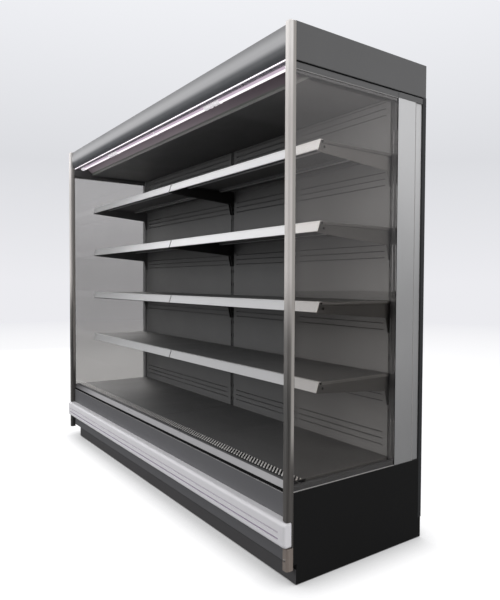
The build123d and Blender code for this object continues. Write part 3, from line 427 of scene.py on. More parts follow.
@dataclass(frozen=True)
class Paint:
    """Powder coat on sheet steel: a fine texture, faint patches, and edges lightened for a thinner coat and a painted
    highlight.
    """

    name: str
    colour: str
    roughness: float = 0.5
    patch: float = 0.06            # how far a wiped patch goes to its lighter tone
    edge: float = 0.35             # how far an edge goes to its lighter tone: thinner coat and painted highlight
    texture: float = 0.12          # strength of the coat's texture
    radius: float = 0.0012         # how far an edge is rounded
    dust: float = 0.0
    specular: float = 0.5
    drifts: tuple[Drift, ...] = ()
    patch_tone: float = 1.6        # as a share of the colour, and so is the edge's
    edge_highlight_tone: float = 2.4
    patch_scale: float = 3.0
    patch_polish: float = 0.1      # how much smoother a patch is
    grain: tuple[float, float, float] = (700.0, 700.0, 700.0)
    grain_roughness: float = 0.08
    grain_height: float = 0.0004
    dust_colour: str = "#9c9994"

    def material(self) -> bpy.types.Material:
        """Draws the material.

        Returns:
            The material.
        """
        made = Dressing(self.name)
        graph = made.graph
        base = tone(self.colour)
        patches = made.place(handling(), Scale=self.patch_scale).outputs["Mask"]
        grain = made.place(surface_grain(), Stretch=self.grain)
        edges = made.place(broken_edges(), Radius=self.radius)
        colour = made.drifted(base, self.drifts)
        colour = made.toward(colour, patches, self.patch, scaled(base, self.patch_tone))
        colour = made.toward(colour, edges.outputs["Mask"], self.edge, scaled(base, self.edge_highlight_tone))
        if self.dust:
            film = made.place(settled_dust(), Amount=self.dust).outputs["Mask"]
            colour = graph.mix(film, colour, tone(self.dust_colour))
        made.drive("Base Color", colour)
        worn = graph.math("SUBTRACT", self.roughness, graph.math("MULTIPLY", patches, self.patch_polish))
        made.roughen(worn, grain, self.grain_roughness)
        made.emboss(grain, edges, self.texture, self.grain_height)
        made.constant(Metallic=0.0, Specular_IOR_Level=self.specular)
        return made.material


@dataclass(frozen=True)
class BrushedMetal:
    """Drawn or brushed aluminium: streaks along one way, soft patches, and a painted highlight along the edges."""

    name: str
    colour: str
    along: tuple[float, float, float] = (6.0, 900.0, 900.0)    # streaks are long where this is small
    roughness: float = 0.34
    metallic: float = 0.9
    streak: float = 0.16           # how far a streak goes to its darker tone
    edge: float = 0.5              # how far an edge goes to its lighter tone, a painted highlight
    radius: float = 0.0012
    drifts: tuple[Drift, ...] = ()
    streak_tone: float = 0.62      # as a share of the colour, and so is the edge's
    edge_highlight_tone: float = 1.5
    patch_scale: float = 5.0
    patch_polish: float = 0.12     # how much smoother a patch is
    streak_roughness: float = 0.1
    streak_strength: float = 0.18
    streak_height: float = 0.0003

    def material(self) -> bpy.types.Material:
        """Draws the material.

        Returns:
            The material.
        """
        made = Dressing(self.name)
        graph = made.graph
        base = tone(self.colour)
        streaks = made.place(surface_grain(), Stretch=self.along)
        patches = made.place(handling(), Scale=self.patch_scale).outputs["Mask"]
        edges = made.place(broken_edges(), Radius=self.radius)
        colour = made.drifted(base, self.drifts)
        colour = made.toward(colour, streaks.outputs["Mask"], self.streak, scaled(base, self.streak_tone))
        colour = made.toward(colour, edges.outputs["Mask"], self.edge, scaled(base, self.edge_highlight_tone))
        made.drive("Base Color", colour)
        rubbed = graph.math("SUBTRACT", self.roughness, graph.math("MULTIPLY", patches, self.patch_polish))
        made.roughen(rubbed, streaks, self.streak_roughness)
        made.emboss(streaks, edges, self.streak_strength, self.streak_height)
        made.constant(Metallic=self.metallic)
        return made.material


@dataclass(frozen=True)
class Moulding:
    """Extruded or moulded plastic: faint flow lines, a slight sheen, scuffs, a painted highlight along the edges, and
    any painted lamplight that makes it glow.
    """

    name: str
    colour: str
    roughness: float = 0.38
    flow: tuple[float, float, float] = (20.0, 400.0, 400.0)
    mottling: float = 0.06         # how far a scuff goes to its darker tone
    radius: float = 0.0012
    coat: float = 0.0
    glow: float = 0.0              # painted lamplight: the plastic glows though it is no lamp
    drifts: tuple[Drift, ...] = ()
    scuff_scale: float = 12.0
    scuff_tone: float = 0.7        # as a share of the colour, and so is the edge's
    edge_highlight_tone: float = 1.35
    # how far an edge goes to its lighter tone, a painted highlight
    edge: float = 0.3
    scuff_roughness: float = 0.08
    line_roughness: float = 0.07
    line_strength: float = 0.08
    line_height: float = 0.0003
    coat_roughness: float = 0.1

    def material(self) -> bpy.types.Material:
        """Draws the material.

        Returns:
            The material.
        """
        made = Dressing(self.name)
        graph = made.graph
        base = tone(self.colour)
        lines = made.place(surface_grain(), Stretch=self.flow)
        scuffs = made.place(handling(), Scale=self.scuff_scale).outputs["Mask"]
        edges = made.place(broken_edges(), Radius=self.radius)
        colour = made.drifted(base, self.drifts)
        colour = made.toward(colour, scuffs, self.mottling, scaled(base, self.scuff_tone))
        colour = made.toward(colour, edges.outputs["Mask"], self.edge, scaled(base, self.edge_highlight_tone))
        made.drive("Base Color", colour)
        # painted lamplight: the plastic glows in its own colour
        if self.glow:
            made.drive("Emission Color", colour)
            made.constant(Emission_Strength=self.glow)
        scuffed = graph.math("ADD", self.roughness, graph.math("MULTIPLY", scuffs, self.scuff_roughness))
        made.roughen(scuffed, lines, self.line_roughness)
        made.emboss(lines, edges, self.line_strength, self.line_height)
        made.constant(Metallic=0.0, Coat_Weight=self.coat, Coat_Roughness=self.coat_roughness)
        return made.material


@dataclass(frozen=True)
class PaneGlass:
    """Float glass that lets the lamps' light through, with a faint film of wiping marks."""

    name: str
    tint: str
    wiping: float = 0.08           # how far a wiping mark goes to its dimmer tone
    drifts: tuple[Drift, ...] = ()
    mark_tone: float = 0.8         # as a share of the tint
    mark_scale: float = 2.5
    bending: float = 1.45          # index of refraction

    def material(self) -> bpy.types.Material:
        """Draws the material.

        Returns:
            The material.
        """
        made = Dressing(self.name)
        graph = made.graph
        base = tone(self.tint)
        marks = made.place(handling(), Scale=self.mark_scale).outputs["Mask"]
        colour = made.drifted(base, self.drifts)
        made.drive("Base Color", made.toward(colour, marks, self.wiping, scaled(base, self.mark_tone)))
        made.constant(Roughness=0.0, Metallic=0.0, Transmission_Weight=1.0, IOR=self.bending)
        one_face = (*[channel ** 0.5 for channel in base[:3]], 1.0)
        through = graph.add("ShaderNodeBsdfTransparent", {"Color": one_face})
        lamp_ray = graph.add("ShaderNodeLightPath").outputs["Is Shadow Ray"]
        both = graph.add("ShaderNodeMixShader", {0: lamp_ray, 1: made.shader.outputs[0],
                                                 2: through.outputs[0]})
        graph.fill(made.output.inputs["Surface"], both.outputs[0])
        return made.material


@dataclass(frozen=True)
class LitTube:
    """A lit fluorescent tube: white below, pinkish where it turns up to its housing, and darker on its crown, where
    shade is painted into its light.
    """

    name: str
    colour: str
    flank: str
    # painted shade: the crown's dark tone stands in for the shadow between the tube and the outlet above it
    crown: str
    glow: float = 1.15
    to_flank: tuple[float, float] = (-0.86, -0.62)     # upward share of the normal, where each tone
    to_crown_shade: tuple[float, float] = (0.1, 0.4)         # begins and where it is full
    grain: tuple[float, float, float] = (8.0, 60.0, 60.0)
    mottling: float = 0.12         # how far a mottle goes to its dimmer tone
    mottle_tone: float = 0.82
    unlit: str = "#5e565d"
    roughness: float = 0.3

    def material(self) -> bpy.types.Material:
        """Draws the material.

        Returns:
            The material.
        """
        made = Dressing(self.name)
        graph = made.graph
        grain = made.place(surface_grain(), Stretch=self.grain)
        normal = graph.add("ShaderNodeNewGeometry").outputs["Normal"]
        upward = graph.add("ShaderNodeSeparateXYZ", {0: normal}).outputs["Z"]
        lit = graph.mix(graph.remap(upward, *self.to_flank), tone(self.colour), tone(self.flank))
        # painted shade on the tube's crown
        lit = graph.mix(graph.remap(upward, *self.to_crown_shade), lit, tone(self.crown))
        mottled = scaled(tone(self.colour), self.mottle_tone)
        made.drive("Emission Color", made.toward(lit, grain.outputs["Mask"], self.mottling, mottled))
        made.constant(Base_Color=tone(self.unlit), Roughness=self.roughness, Emission_Strength=self.glow)
        return made.material


Finish = Union[Paint, BrushedMetal, Moulding, PaneGlass, LitTube]


class Finishes:
    """Every finish of the cabinet, by the record's slot name, and those of the trim."""

    SLOTS: tuple[Finish, ...] = (
        Paint("frame_steel", "#3a3a3b", roughness=0.6),
        Moulding("foot_plastic", "#242424", roughness=0.55),
        Paint("tub_skin", "#8f9092", roughness=0.45),
        Paint("kick_paint", "#444344"),
        Paint("front_paint", "#59595b"),
        Moulding("bumper_plastic", "#d8d7d9", roughness=0.42),
        # darker towards the left end, and nearly black along the top of its front band: a painted shadow at the feet of
        # the grille bars
        BrushedMetal("sill_aluminium", "#9b9a9b", metallic=0.3, edge=0.2, drifts=(
            Drift(LEFTWARD, 0.7, 1.25, "#5a595a"),
            Drift(UPWARD, 0.3755, 0.3765, "#0b0b0b"))),
        Paint("grille_steel", "#141414", edge=0.1),
        Paint("wall_skin", "#2d2e2f", dust=0.1),
        # painted light and shade: lighter over the middle of the face and dark on the lower band that turns under
        Paint("fascia_paint", "#7d7d7e", drifts=(
            Drift(DOWNWARD, -2.082, -2.036, "#acacad"),
            Drift(DOWNWARD, -2.024, -1.998, "#484a4d"))),
        BrushedMetal("vane_aluminium", "#d8d2da", metallic=0.2),
        # painted shade: darker towards the right end; an olive-grey line along its lower edge
        Paint("housing_paint", "#a79ba1", roughness=0.45, drifts=(
            Drift(RIGHTWARD, 0.0, 1.2, "#70656b"),
            Drift(DOWNWARD, -1.949, -1.946, "#6f726d"))),
        # painted light: the interior lighter towards the right end, where light comes in through the clear pane
        Paint("inner_paint", "#565656", roughness=0.55, drifts=(
            Drift(RIGHTWARD, 0.58, 0.68, "#666666"),
            Drift(RIGHTWARD, 0.8, 1.2, "#7e7e7e"))),
        # the tube's dark crown is painted shade
        LitTube("lamp_glass", "#fffafc", "#ae9eae", "#6a5a64"),
        # the lamp holders glow with painted lamplight
        Moulding("holder_plastic", "#f0eef0", mottling=0.3, glow=0.5),
        # near black, and lighter at each end, where light comes in through the end panes: painted light
        Paint("upright_paint", "#161616", drifts=(
            Drift(LEFTWARD, 1.1, 1.15, "#767676"),
            Drift(RIGHTWARD, 1.1, 1.15, "#555555"))),
        Paint("motor_paint", "#2a2a2c", roughness=0.6),
        BrushedMetal("coil_aluminium", "#c0c2c4", along=(400.0, 30.0, 400.0)),
        # painted reflection and shade: pale at the top and darker lower down as if mirroring dark surroundings, a
        # lighter side face, and a foot tan on the right and near black on the left
        BrushedMetal("post_aluminium", "#f2eeea", along=(900.0, 900.0, 6.0), roughness=0.55, metallic=0.1,
                     edge=0.1, drifts=(
                         Drift(DOWNWARD, -2.08, -1.7, "#c6c1bd"),
                         Drift(DOWNWARD, -1.2, -0.88, "#5a5754"),
                         Drift(DOWNWARD, -0.88, -0.68, "#363533"),
                         Drift(BACKWARD, -0.366, -0.358, "#9a9691"),
                         Drift(DOWNWARD, -0.6, -0.42, "#3a3734"),
                         Drift(DOWNWARD, -0.15, -0.146, "#7a6f67", side=1.0),
                         Drift(DOWNWARD, -0.15, -0.146, "#232322", side=-1.0))),
        Paint("end_paint", "#181818", specular=0.3),
        Paint("cap_paint", "#5d5d5d", specular=0.35),
        PaneGlass("end_pane", "#fffdfb", wiping=0.03),
        # painted shade: the rear cover darker towards the bottom
        Paint("cover_paint", "#c4c4c4", patch=0.03, drifts=(
            Drift(DOWNWARD, -1.88, -0.95, "#8c8c8c"),
            Drift(DOWNWARD, -0.95, -0.4, "#7a7a7a"))),
        Paint("deck_paint", "#494949", roughness=0.45),
        Moulding("fan_plastic", "#262626", roughness=0.5),
        # the shelves' edges carry a strong painted highlight
        Paint("shelf_paint", "#4d4d4d", edge=0.8, radius=0.0025),
        # painted light and shade: darker lower down, near black away from the right end, lighter again at the left end
        Paint("bracket_paint", "#585858", drifts=(
            Drift(DOWNWARD, -1.56, -1.4, "#424242"),
            Drift(DOWNWARD, -1.15, -1.05, "#363636"),
            Drift(LEFTWARD, -1.2, -1.1, "#1a1a1a"),
            Drift(LEFTWARD, 1.1, 1.2, "#646464"))),
        # painted light: the rails darker lower down, further from the lamps, and darker towards the left; the dark
        # strip at the middle is the joint between the halves
        Moulding("rail_plastic", "#eeeeee", roughness=0.3, coat=0.2, drifts=(
            Drift(DOWNWARD, -1.36, -1.08, "#c0c0c0"),
            Drift(DOWNWARD, -1.04, -0.76, "#acacac"),
            Drift(LEFTWARD, -0.3, 1.1, "#969696"),
            Drift(LEFTWARD, -0.006, -0.005, "#5c5c5c", side=1.0),
            Drift(RIGHTWARD, -0.006, -0.005, "#5c5c5c", side=-1.0))),
    )
    TRIM: tuple[Finish, ...] = (
        # painted light: the smoked pane's tint lighter towards the top
        PaneGlass("smoked_pane", "#cfcecd", drifts=(Drift(UPWARD, 1.1, 1.85, "#e3e2e1"),)),
        # painted shade and light: the spacers darker lower down and lighter on the left; this grey also paints the
        # shade on the rear cover's front edge
        Moulding("spacer_and_shade_grey", "#5b5b5c", roughness=0.5, drifts=(
            Drift(DOWNWARD, -1.7, -0.8, "#3b3b3c"),
            Drift(UPWARD, 0.0, 0.1, "#8a8a8b", side=-1.0))),
        # black strips that paint shadow lines in gaps and joints, and black gaskets
        Paint("gasket_and_shadow_black", "#080808", roughness=0.8, edge=0.1, specular=0.15),
        Moulding("inlay_pale", "#b8b0bb", roughness=0.5),
        Moulding("inlay_mauve", "#93829a", roughness=0.5),
        # bright beads: glazing beads that also paint highlights on the edges next to them
        BrushedMetal("bead_and_highlight_aluminium", "#aeacaa", along=(900.0, 6.0, 900.0), metallic=0.3),
        BrushedMetal("grille_bars", "#d9d7d5", along=(500.0, 8.0, 500.0), metallic=0.3, radius=0.0005),
        # the bead under the outlet glows with painted lamplight
        Moulding("lit_edge", "#fbf4fa", mottling=0.04, glow=0.75),
        BrushedMetal("screw_zinc", "#a8a6a2", along=(500.0, 500.0, 500.0), radius=0.0004),
        Paint("rivet_dark", "#0a0a0a", roughness=0.6, edge=0.1, radius=0.0004, specular=0.2),
        # painted highlight on the undersides of the shelves' ribs
        Paint("rib_sheen", "#a4a4a4", roughness=0.45),
        # the sleeves on the tube ends glow with painted lamplight
        Moulding("lamp_sleeve", "#f0edf0", mottling=0.45, glow=0.55),
        BrushedMetal("foil", "#cfc8d4", along=(90.0, 90.0, 900.0), metallic=0.2),
    )

    def __init__(self) -> None:
        """Draws each finish once."""
        self.made = {finish.name: finish.material() for finish in self.SLOTS + self.TRIM}

    def __getitem__(self, name: str) -> bpy.types.Material:
        """The material of a finish."""
        return self.made[name]


# ---------------------------------------------------------------- meshes
@dataclass(frozen=True)
class Piece:
    """What a new piece is called, rides on and takes its finish from."""

    name: str
    body: str
    finish: str
    slot: Union[str, None] = None
    replaces: tuple[str, ...] = ()


def into_scene(name: str, data: bpy.types.ID) -> bpy.types.Object:
    """Puts a mesh, light or camera into the scene as an object at the origin.

    Args:
        name: The object's name.
        data: The mesh, light or camera.

    Returns:
        The object.
    """
    made = bpy.data.objects.new(name, data)
    bpy.context.scene.collection.objects.link(made)
    return made


class Workshop:
    """Turns meshes into pieces of the cabinet and keeps count of them."""

    SHARP_FROM = math.radians(35)  # edges that turn more than this stay sharp on a smooth piece

    def __init__(self, finishes: Finishes) -> None:
        """Starts with no piece made."""
        self.finishes = finishes
        self.count = 0

    def deliver(self, mesh: bpy.types.Mesh, piece: Piece, smooth: bool = False) -> None:
        """Makes a finished piece of a mesh, which rides on its body.

        Args:
            mesh: The mesh, in its place in the cabinet's frame.
            piece: Its name, body, finish and slot, and the nodes that it stands for.
            smooth: Whether its round faces shade smoothly.
        """
        made = into_scene(piece.name, mesh)
        if smooth:
            mesh.shade_smooth()
            mesh.set_sharp_from_angle(angle=self.SHARP_FROM)
        if not mesh.materials:
            mesh.materials.append(self.finishes[piece.finish])
        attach(made, piece.body)
        if piece.replaces:
            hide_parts(*piece.replaces)
        self.count += 1
        LOG.info("%s: %d faces on %s", piece.name, len(mesh.polygons), piece.body)


def written(name: str, built: bmesh.types.BMesh) -> bpy.types.Mesh:
    """Writes a shape to a new mesh as it is, and frees the shape.

    Args:
        name: The mesh's name.
        built: The shape.

    Returns:
        The mesh.
    """
    mesh = bpy.data.meshes.new(name)
    built.to_mesh(mesh)
    built.free()
    return mesh


def to_mesh(name: str, built: bmesh.types.BMesh) -> bpy.types.Mesh:
    """Merges doubles, turns faces outward and writes a mesh.

    Args:
        name: The mesh's name.
        built: The shape, which is freed.

    Returns:
        The mesh.
    """
    bmesh.ops.remove_doubles(built, verts=built.verts, dist=1e-6)
    bmesh.ops.recalc_face_normals(built, faces=built.faces)
    return written(name, built)


def arc_angles(first: int, last: int) -> list[float]:
    """Angles in radians from one to another, every thirty degrees."""
    return [math.radians(degrees) for degrees in range(first, last + 1, 30)]


def add_block(built: bmesh.types.BMesh, low: Vector, high: Vector, round_by: float) -> None:
    """Adds a bar between two corners, with one face across each edge.

    Args:
        built: The shape it is added to.
        low: Its lowest corner.
        high: Its highest corner.
        round_by: How far the edges are taken off.
    """
    size = high - low
    matrix = Matrix.Translation((low + high) / 2) @ Matrix.Diagonal((*size, 1.0))
    made = bmesh.ops.create_cube(built, size=1.0, matrix=matrix)
    edges = {edge for vert in made["verts"] for edge in vert.link_edges}
    bmesh.ops.bevel(built, geom=list(edges), offset=round_by, segments=1, profile=0.5, affect="EDGES")


def turned(name: str, profile: Sequence[tuple[float, float]], segments: int,
           matrix: Matrix) -> bpy.types.Mesh:
    """A shape turned on its axis.

    Args:
        name: The mesh's name.
        profile: Radius and height of each point, from the axis out and back.
        segments: Faces round the axis.
        matrix: Where the shape goes; its axis is the local Z.

    Returns:
        The closed mesh.
    """
    built = bmesh.new()
    rings = []
    for radius, height in profile:
        if radius == 0:
            rings.append([built.verts.new((0, 0, height))])
            continue
        angles = [2 * math.pi * k / segments for k in range(segments)]
        rings.append([built.verts.new((radius * math.cos(a), radius * math.sin(a), height)) for a in angles])
    for lower, upper in zip(rings, rings[1:]):
        for k in range(segments):
            after = (k + 1) % segments
            corners = [lower[k % len(lower)], lower[after % len(lower)],
                       upper[after % len(upper)], upper[k % len(upper)]]
            unique = list(dict.fromkeys(corners))
            if len(unique) > 2:
                built.faces.new(unique)
    built.transform(matrix)
    return to_mesh(name, built)


def extruded(name: str, outline: Sequence[tuple[float, float]], start: float, end: float) -> bpy.types.Mesh:
    """A closed outline in Y and Z, drawn out along X.

    Args:
        name: The mesh's name.
        outline: Its corners, as (y, z).
        start: X of its left end.
        end: X of its right end.

    Returns:
        The closed mesh.
    """
    built = bmesh.new()
    faces = []
    for x in (start, end):
        faces.append([built.verts.new((x, y, z)) for y, z in outline])
        built.faces.new(faces[-1])
    for k in range(len(outline)):
        after = (k + 1) % len(outline)
        built.faces.new((faces[0][k], faces[0][after], faces[1][after], faces[1][k]))
    return to_mesh(name, built)


# ---------------------------------------------------------------- repeats
class Pattern(Enum):
    """The two rules by which the cabinet's small parts repeat."""

    ROWS = "rows"
    FOIL = "foil"


class Repeater:
    """Geometry node trees that repeat a small part or follow a rule, and what they make."""

    ROW_SOCKETS = (("Count", "NodeSocketInt", 1), ("Spacing", VECTOR, (0.0, 0.0, 0.0)),
                   ("Rows", "NodeSocketInt", 1), ("Row Spacing", VECTOR, (0.0, 0.0, 0.0)),
                   ("Start", VECTOR, (0.0, 0.0, 0.0)), ("Part", "NodeSocketObject", None),
                   ("Finish", "NodeSocketMaterial", None))
    FOIL_SOCKETS = (("Points", "NodeSocketInt", 5), ("Step", FLOAT, 0.004), ("Depth", FLOAT, 0.003),
                    ("Height", FLOAT, 0.016), ("Gauge", FLOAT, 0.0003), ("Strips", "NodeSocketInt", 3),
                    ("Strip Spacing", FLOAT, 0.006), ("Finish", "NodeSocketMaterial", None))

    def __init__(self) -> None:
        """Builds both trees."""
        self.trees = {Pattern.ROWS: self._rows_tree(), Pattern.FOIL: self._foil_tree()}

    @staticmethod
    def _start(name: str, sockets: Iterable[tuple[str, str, object]]) -> tuple[Graph, Node, Node]:
        """An empty tree with its named inputs.

        Args:
            name: The tree's name.
            sockets: Name, kind and default of each input.

        Returns:
            The graph, its input node and its output node.
        """
        tree = bpy.data.node_groups.new(name, "GeometryNodeTree")
        tree.interface.new_socket("Geometry", in_out="OUTPUT", socket_type="NodeSocketGeometry")
        for label, kind, default in sockets:
            socket = tree.interface.new_socket(label, in_out="INPUT", socket_type=kind)
            if default is not None:
                socket.default_value = default
        graph = Graph(tree)
        return graph, graph.add("NodeGroupInput"), graph.add("NodeGroupOutput")

    @staticmethod
    def _end(graph: Graph, given: Node, result: Node, geometry: Socket) -> bpy.types.NodeTree:
        """Realizes the instances and sets their finish.

        Args:
            graph: The tree.
            given: Its input node.
            result: Its output node.
            geometry: What it has made so far.

        Returns:
            The finished tree.
        """
        real = graph.add("GeometryNodeRealizeInstances", {0: geometry})
        dressed = graph.add("GeometryNodeSetMaterial", {"Geometry": real.outputs[0],
                                                        "Material": given.outputs["Finish"]})
        graph.fill(result.inputs[0], dressed.outputs[0])
        return graph.tree

    def _rows_tree(self) -> bpy.types.NodeTree:
        """A part at every point of some rows.

        Returns:
            The tree.
        """
        graph, given, result = self._start("part_in_rows", self.ROW_SOCKETS)
        along = graph.add("GeometryNodeMeshLine", {"Count": given.outputs["Count"],
                                                   "Offset": given.outputs["Spacing"]})
        across = graph.add("GeometryNodeMeshLine", {"Count": given.outputs["Rows"],
                                                    "Start Location": given.outputs["Start"],
                                                    "Offset": given.outputs["Row Spacing"]})
        rows = graph.add("GeometryNodeInstanceOnPoints", {"Points": across.outputs[0],
                                                          "Instance": along.outputs[0]})
        points = graph.add("GeometryNodeRealizeInstances", {0: rows.outputs[0]})
        part = graph.add("GeometryNodeObjectInfo", {"Object": given.outputs["Part"]})
        parts = graph.add("GeometryNodeInstanceOnPoints", {"Points": points.outputs[0],
                                                           "Instance": part.outputs["Geometry"]})
        return self._end(graph, given, result, parts.outputs[0])

    def _foil_tree(self) -> bpy.types.NodeTree:
        """Strips of corrugated foil side by side, whose folds close into six-sided cells.

        Returns:
            The tree.
        """
        graph, given, result = self._start("folded_foil", self.FOIL_SOCKETS)
        run = graph.add("ShaderNodeCombineXYZ", {0: given.outputs["Step"]})
        line = graph.add("GeometryNodeMeshLine", {"Count": given.outputs["Points"], "Offset": run.outputs[0]})
        index = graph.add("GeometryNodeInputIndex").outputs[0]
        phase = graph.math("FLOORED_MODULO", index, 4.0)
        high = graph.math("GREATER_THAN", phase, 1.5)
        shift = graph.add("ShaderNodeCombineXYZ", {1: graph.math("MULTIPLY", high, given.outputs["Depth"])})
        folded = graph.add("GeometryNodeSetPosition", {"Geometry": line.outputs[0],
                                                       "Offset": shift.outputs[0]})
        route = graph.add("GeometryNodeMeshToCurve", {"Mesh": folded.outputs[0]})
        section = graph.add("GeometryNodeCurvePrimitiveQuadrilateral", {"Width": given.outputs["Gauge"],
                                                                        "Height": given.outputs["Height"]})
        strip = graph.add("GeometryNodeCurveToMesh", {"Curve": route.outputs[0], "Fill Caps": True,
                                                      "Profile Curve": section.outputs[0]})
        aside = graph.add("ShaderNodeCombineXYZ", {1: given.outputs["Strip Spacing"]})
        places = graph.add("GeometryNodeMeshLine", {"Count": given.outputs["Strips"],
                                                    "Offset": aside.outputs[0]})
        strips = graph.add("GeometryNodeInstanceOnPoints", {"Points": places.outputs[0],
                                                            "Instance": strip.outputs[0]})
        return self._end(graph, given, result, strips.outputs[0])

    def make(self, pattern: Pattern, name: str, **values: object) -> bpy.types.Mesh:
        """Runs a tree and keeps what it makes as a plain mesh.

        Args:
            pattern: Which tree.
            name: The mesh's name.
            values: The tree's inputs by name; an underscore stands for a space.

        Returns:
            The mesh, with its finish on it.
        """
        tree = self.trees[pattern]
        holder = into_scene(name + "_holder", bpy.data.meshes.new(name + "_holder"))
        modifier = holder.modifiers.new("repeat", "NODES")
        modifier.node_group = tree
        sockets = {item.name: item.identifier for item in tree.interface.items_tree if item.in_out == "INPUT"}
        for label, value in values.items():
            modifier[sockets[label.replace("_", " ")]] = value
        bpy.context.view_layer.update()
        evaluated = holder.evaluated_get(bpy.context.evaluated_depsgraph_get())
        mesh = bpy.data.meshes.new_from_object(evaluated)
        mesh.name = name
        while mesh.materials and mesh.materials[0] is None:
            mesh.materials.pop(index=0)
        bpy.data.objects.remove(holder)
        return mesh


@dataclass
class SmallParts:
    """The little parts that repeat, drawn once at the origin and kept out of the picture."""

    rivet_radius: float = 0.0056
    rivet_height: float = 0.0009
    screw_radius: float = 0.0048
    screw_height: float = 0.0022
    segments: int = 10

    def __post_init__(self) -> None:
        """Starts with no part kept."""
        self.kept: list[bpy.types.Object] = []

    @staticmethod
    def facing(axis: str) -> Matrix:
        """The turn that points a part's top along +X, -X or -Y.

        Args:
            axis: The way it is to point.

        Returns:
            The turn as a matrix.
        """
        quarter = math.pi / 2
        turns = {"+x": (0, quarter, 0), "-x": (0, -quarter, 0), "-y": (quarter, 0, 0)}
        return Euler(turns[axis]).to_matrix().to_4x4()

    def keep(self, name: str, mesh: bpy.types.Mesh) -> bpy.types.Object:
        """Keeps a part, out of every picture.

        Args:
            name: The part's name.
            mesh: Its mesh, at the origin.

        Returns:
            The hidden object.
        """
        made = into_scene(name, mesh)
        made.hide_render = True
        self.kept.append(made)
        return made

    def rivet(self, axis: str) -> bpy.types.Object:
        """A low domed rivet head that faces along an axis.

        Args:
            axis: The way the head faces.

        Returns:
            The hidden object.
        """
        r, h = self.rivet_radius, self.rivet_height
        profile = ((0, 0), (r, 0), (r * 0.94, h * 0.55), (r * 0.6, h * 0.92), (0, h))
        return self.keep(f"rivet{axis}", turned("rivet", profile, self.segments, self.facing(axis)))

    def screw(self, axis: str) -> bpy.types.Object:
        """A pan head with a sunk drive that faces along an axis.

        Args:
            axis: The way the head faces.

        Returns:
            The hidden object.
        """
        r, h = self.screw_radius, self.screw_height
        profile = ((0, 0), (r, 0), (r, h * 0.45), (r * 0.8, h * 0.92), (r * 0.45, h), (r * 0.38, h * 0.4),
                   (0, h * 0.3))
        return self.keep(f"screw{axis}", turned("screw", profile, self.segments, self.facing(axis)))

    def clear(self) -> None:
        """Removes the parts, once every repeat is made."""
        for part in self.kept:
            bpy.data.objects.remove(part)
        self.kept = []


# ---------------------------------------------------------------- sub-assemblies
@dataclass
class Carcass:
    """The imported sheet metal, insulation, posts and pans, each with its finish."""

    finishes: Finishes

    def dress(self) -> None:
        """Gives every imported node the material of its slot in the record."""
        for part in frame["record"]["subparts"]:
            node = frame["nodes"][part["node"]]
            node.data.materials.clear()
            node.data.materials.append(self.finishes[part["material_slot"]])
            LOG.info("%s: %s", node.name, part["material_slot"])


@dataclass
class EndPane:
    """One end wall's sealed unit: two sheets of glass and the spacer that keeps them apart."""

    workshop: Workshop
    side: str
    sheet: float = 0.004
    spacer_width: float = 0.005
    spacer_head: float = 0.024     # its top bar, part of which the rail covers
    spacer_foot: float = 0.0315    # its lower bar, up to the deck
    spacer_inset: float = 0.0015
    rear_seal: float = 0.003       # bar over the sheets' rear edges
    grind: float = 0.0006

    def build(self) -> None:
        """Makes the glass and the spacer in the place of the plain block."""
        node = f"end_glass_{self.side}"
        low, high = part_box(node)
        finish = "end_pane" if self.side == "right" else "smoked_pane"
        glass = bmesh.new()
        rear = high.y - self.rear_seal
        add_block(glass, low, Vector((low.x + self.sheet, rear, high.z)), self.grind)
        add_block(glass, Vector((high.x - self.sheet, low.y, low.z)), Vector((high.x, rear, high.z)),
                  self.grind)
        self.workshop.deliver(to_mesh(f"pane_{self.side}", glass),
                              Piece(f"pane_{self.side}", CABINET, finish, "end_pane", (node,)))
        self.workshop.deliver(self._spacer(low, high),
                              Piece(f"pane_spacer_{self.side}", CABINET, "spacer_and_shade_grey"))

    def _spacer(self, low: Vector, high: Vector) -> bpy.types.Mesh:
        """Three bars between the two sheets, set in from their edges, and one over their rear edges.

        Args:
            low: The lowest corner of the node that it fits.
            high: That node's highest corner.

        Returns:
            The mesh.
        """
        x0, x1 = low.x + self.sheet + self.grind / 4, high.x - self.sheet - self.grind / 4
        y0, y1 = low.y + self.spacer_inset, high.y - self.rear_seal
        z0, z1 = low.z + self.spacer_inset, high.z - self.spacer_inset
        head, foot = z1 - self.spacer_head, z0 + self.spacer_foot
        built = bmesh.new()
        for a, b in (((y0, z0), (y1, foot)), ((y0, head), (y1, z1)),
                     ((y0, foot), (y0 + self.spacer_width, head))):
            add_block(built, Vector((x0, *a)), Vector((x1, *b)), self.grind)
        add_block(built, Vector((low.x, y1 + self.grind / 4, low.z)), high, self.grind)
        return to_mesh(f"pane_spacer_{self.side}", built)


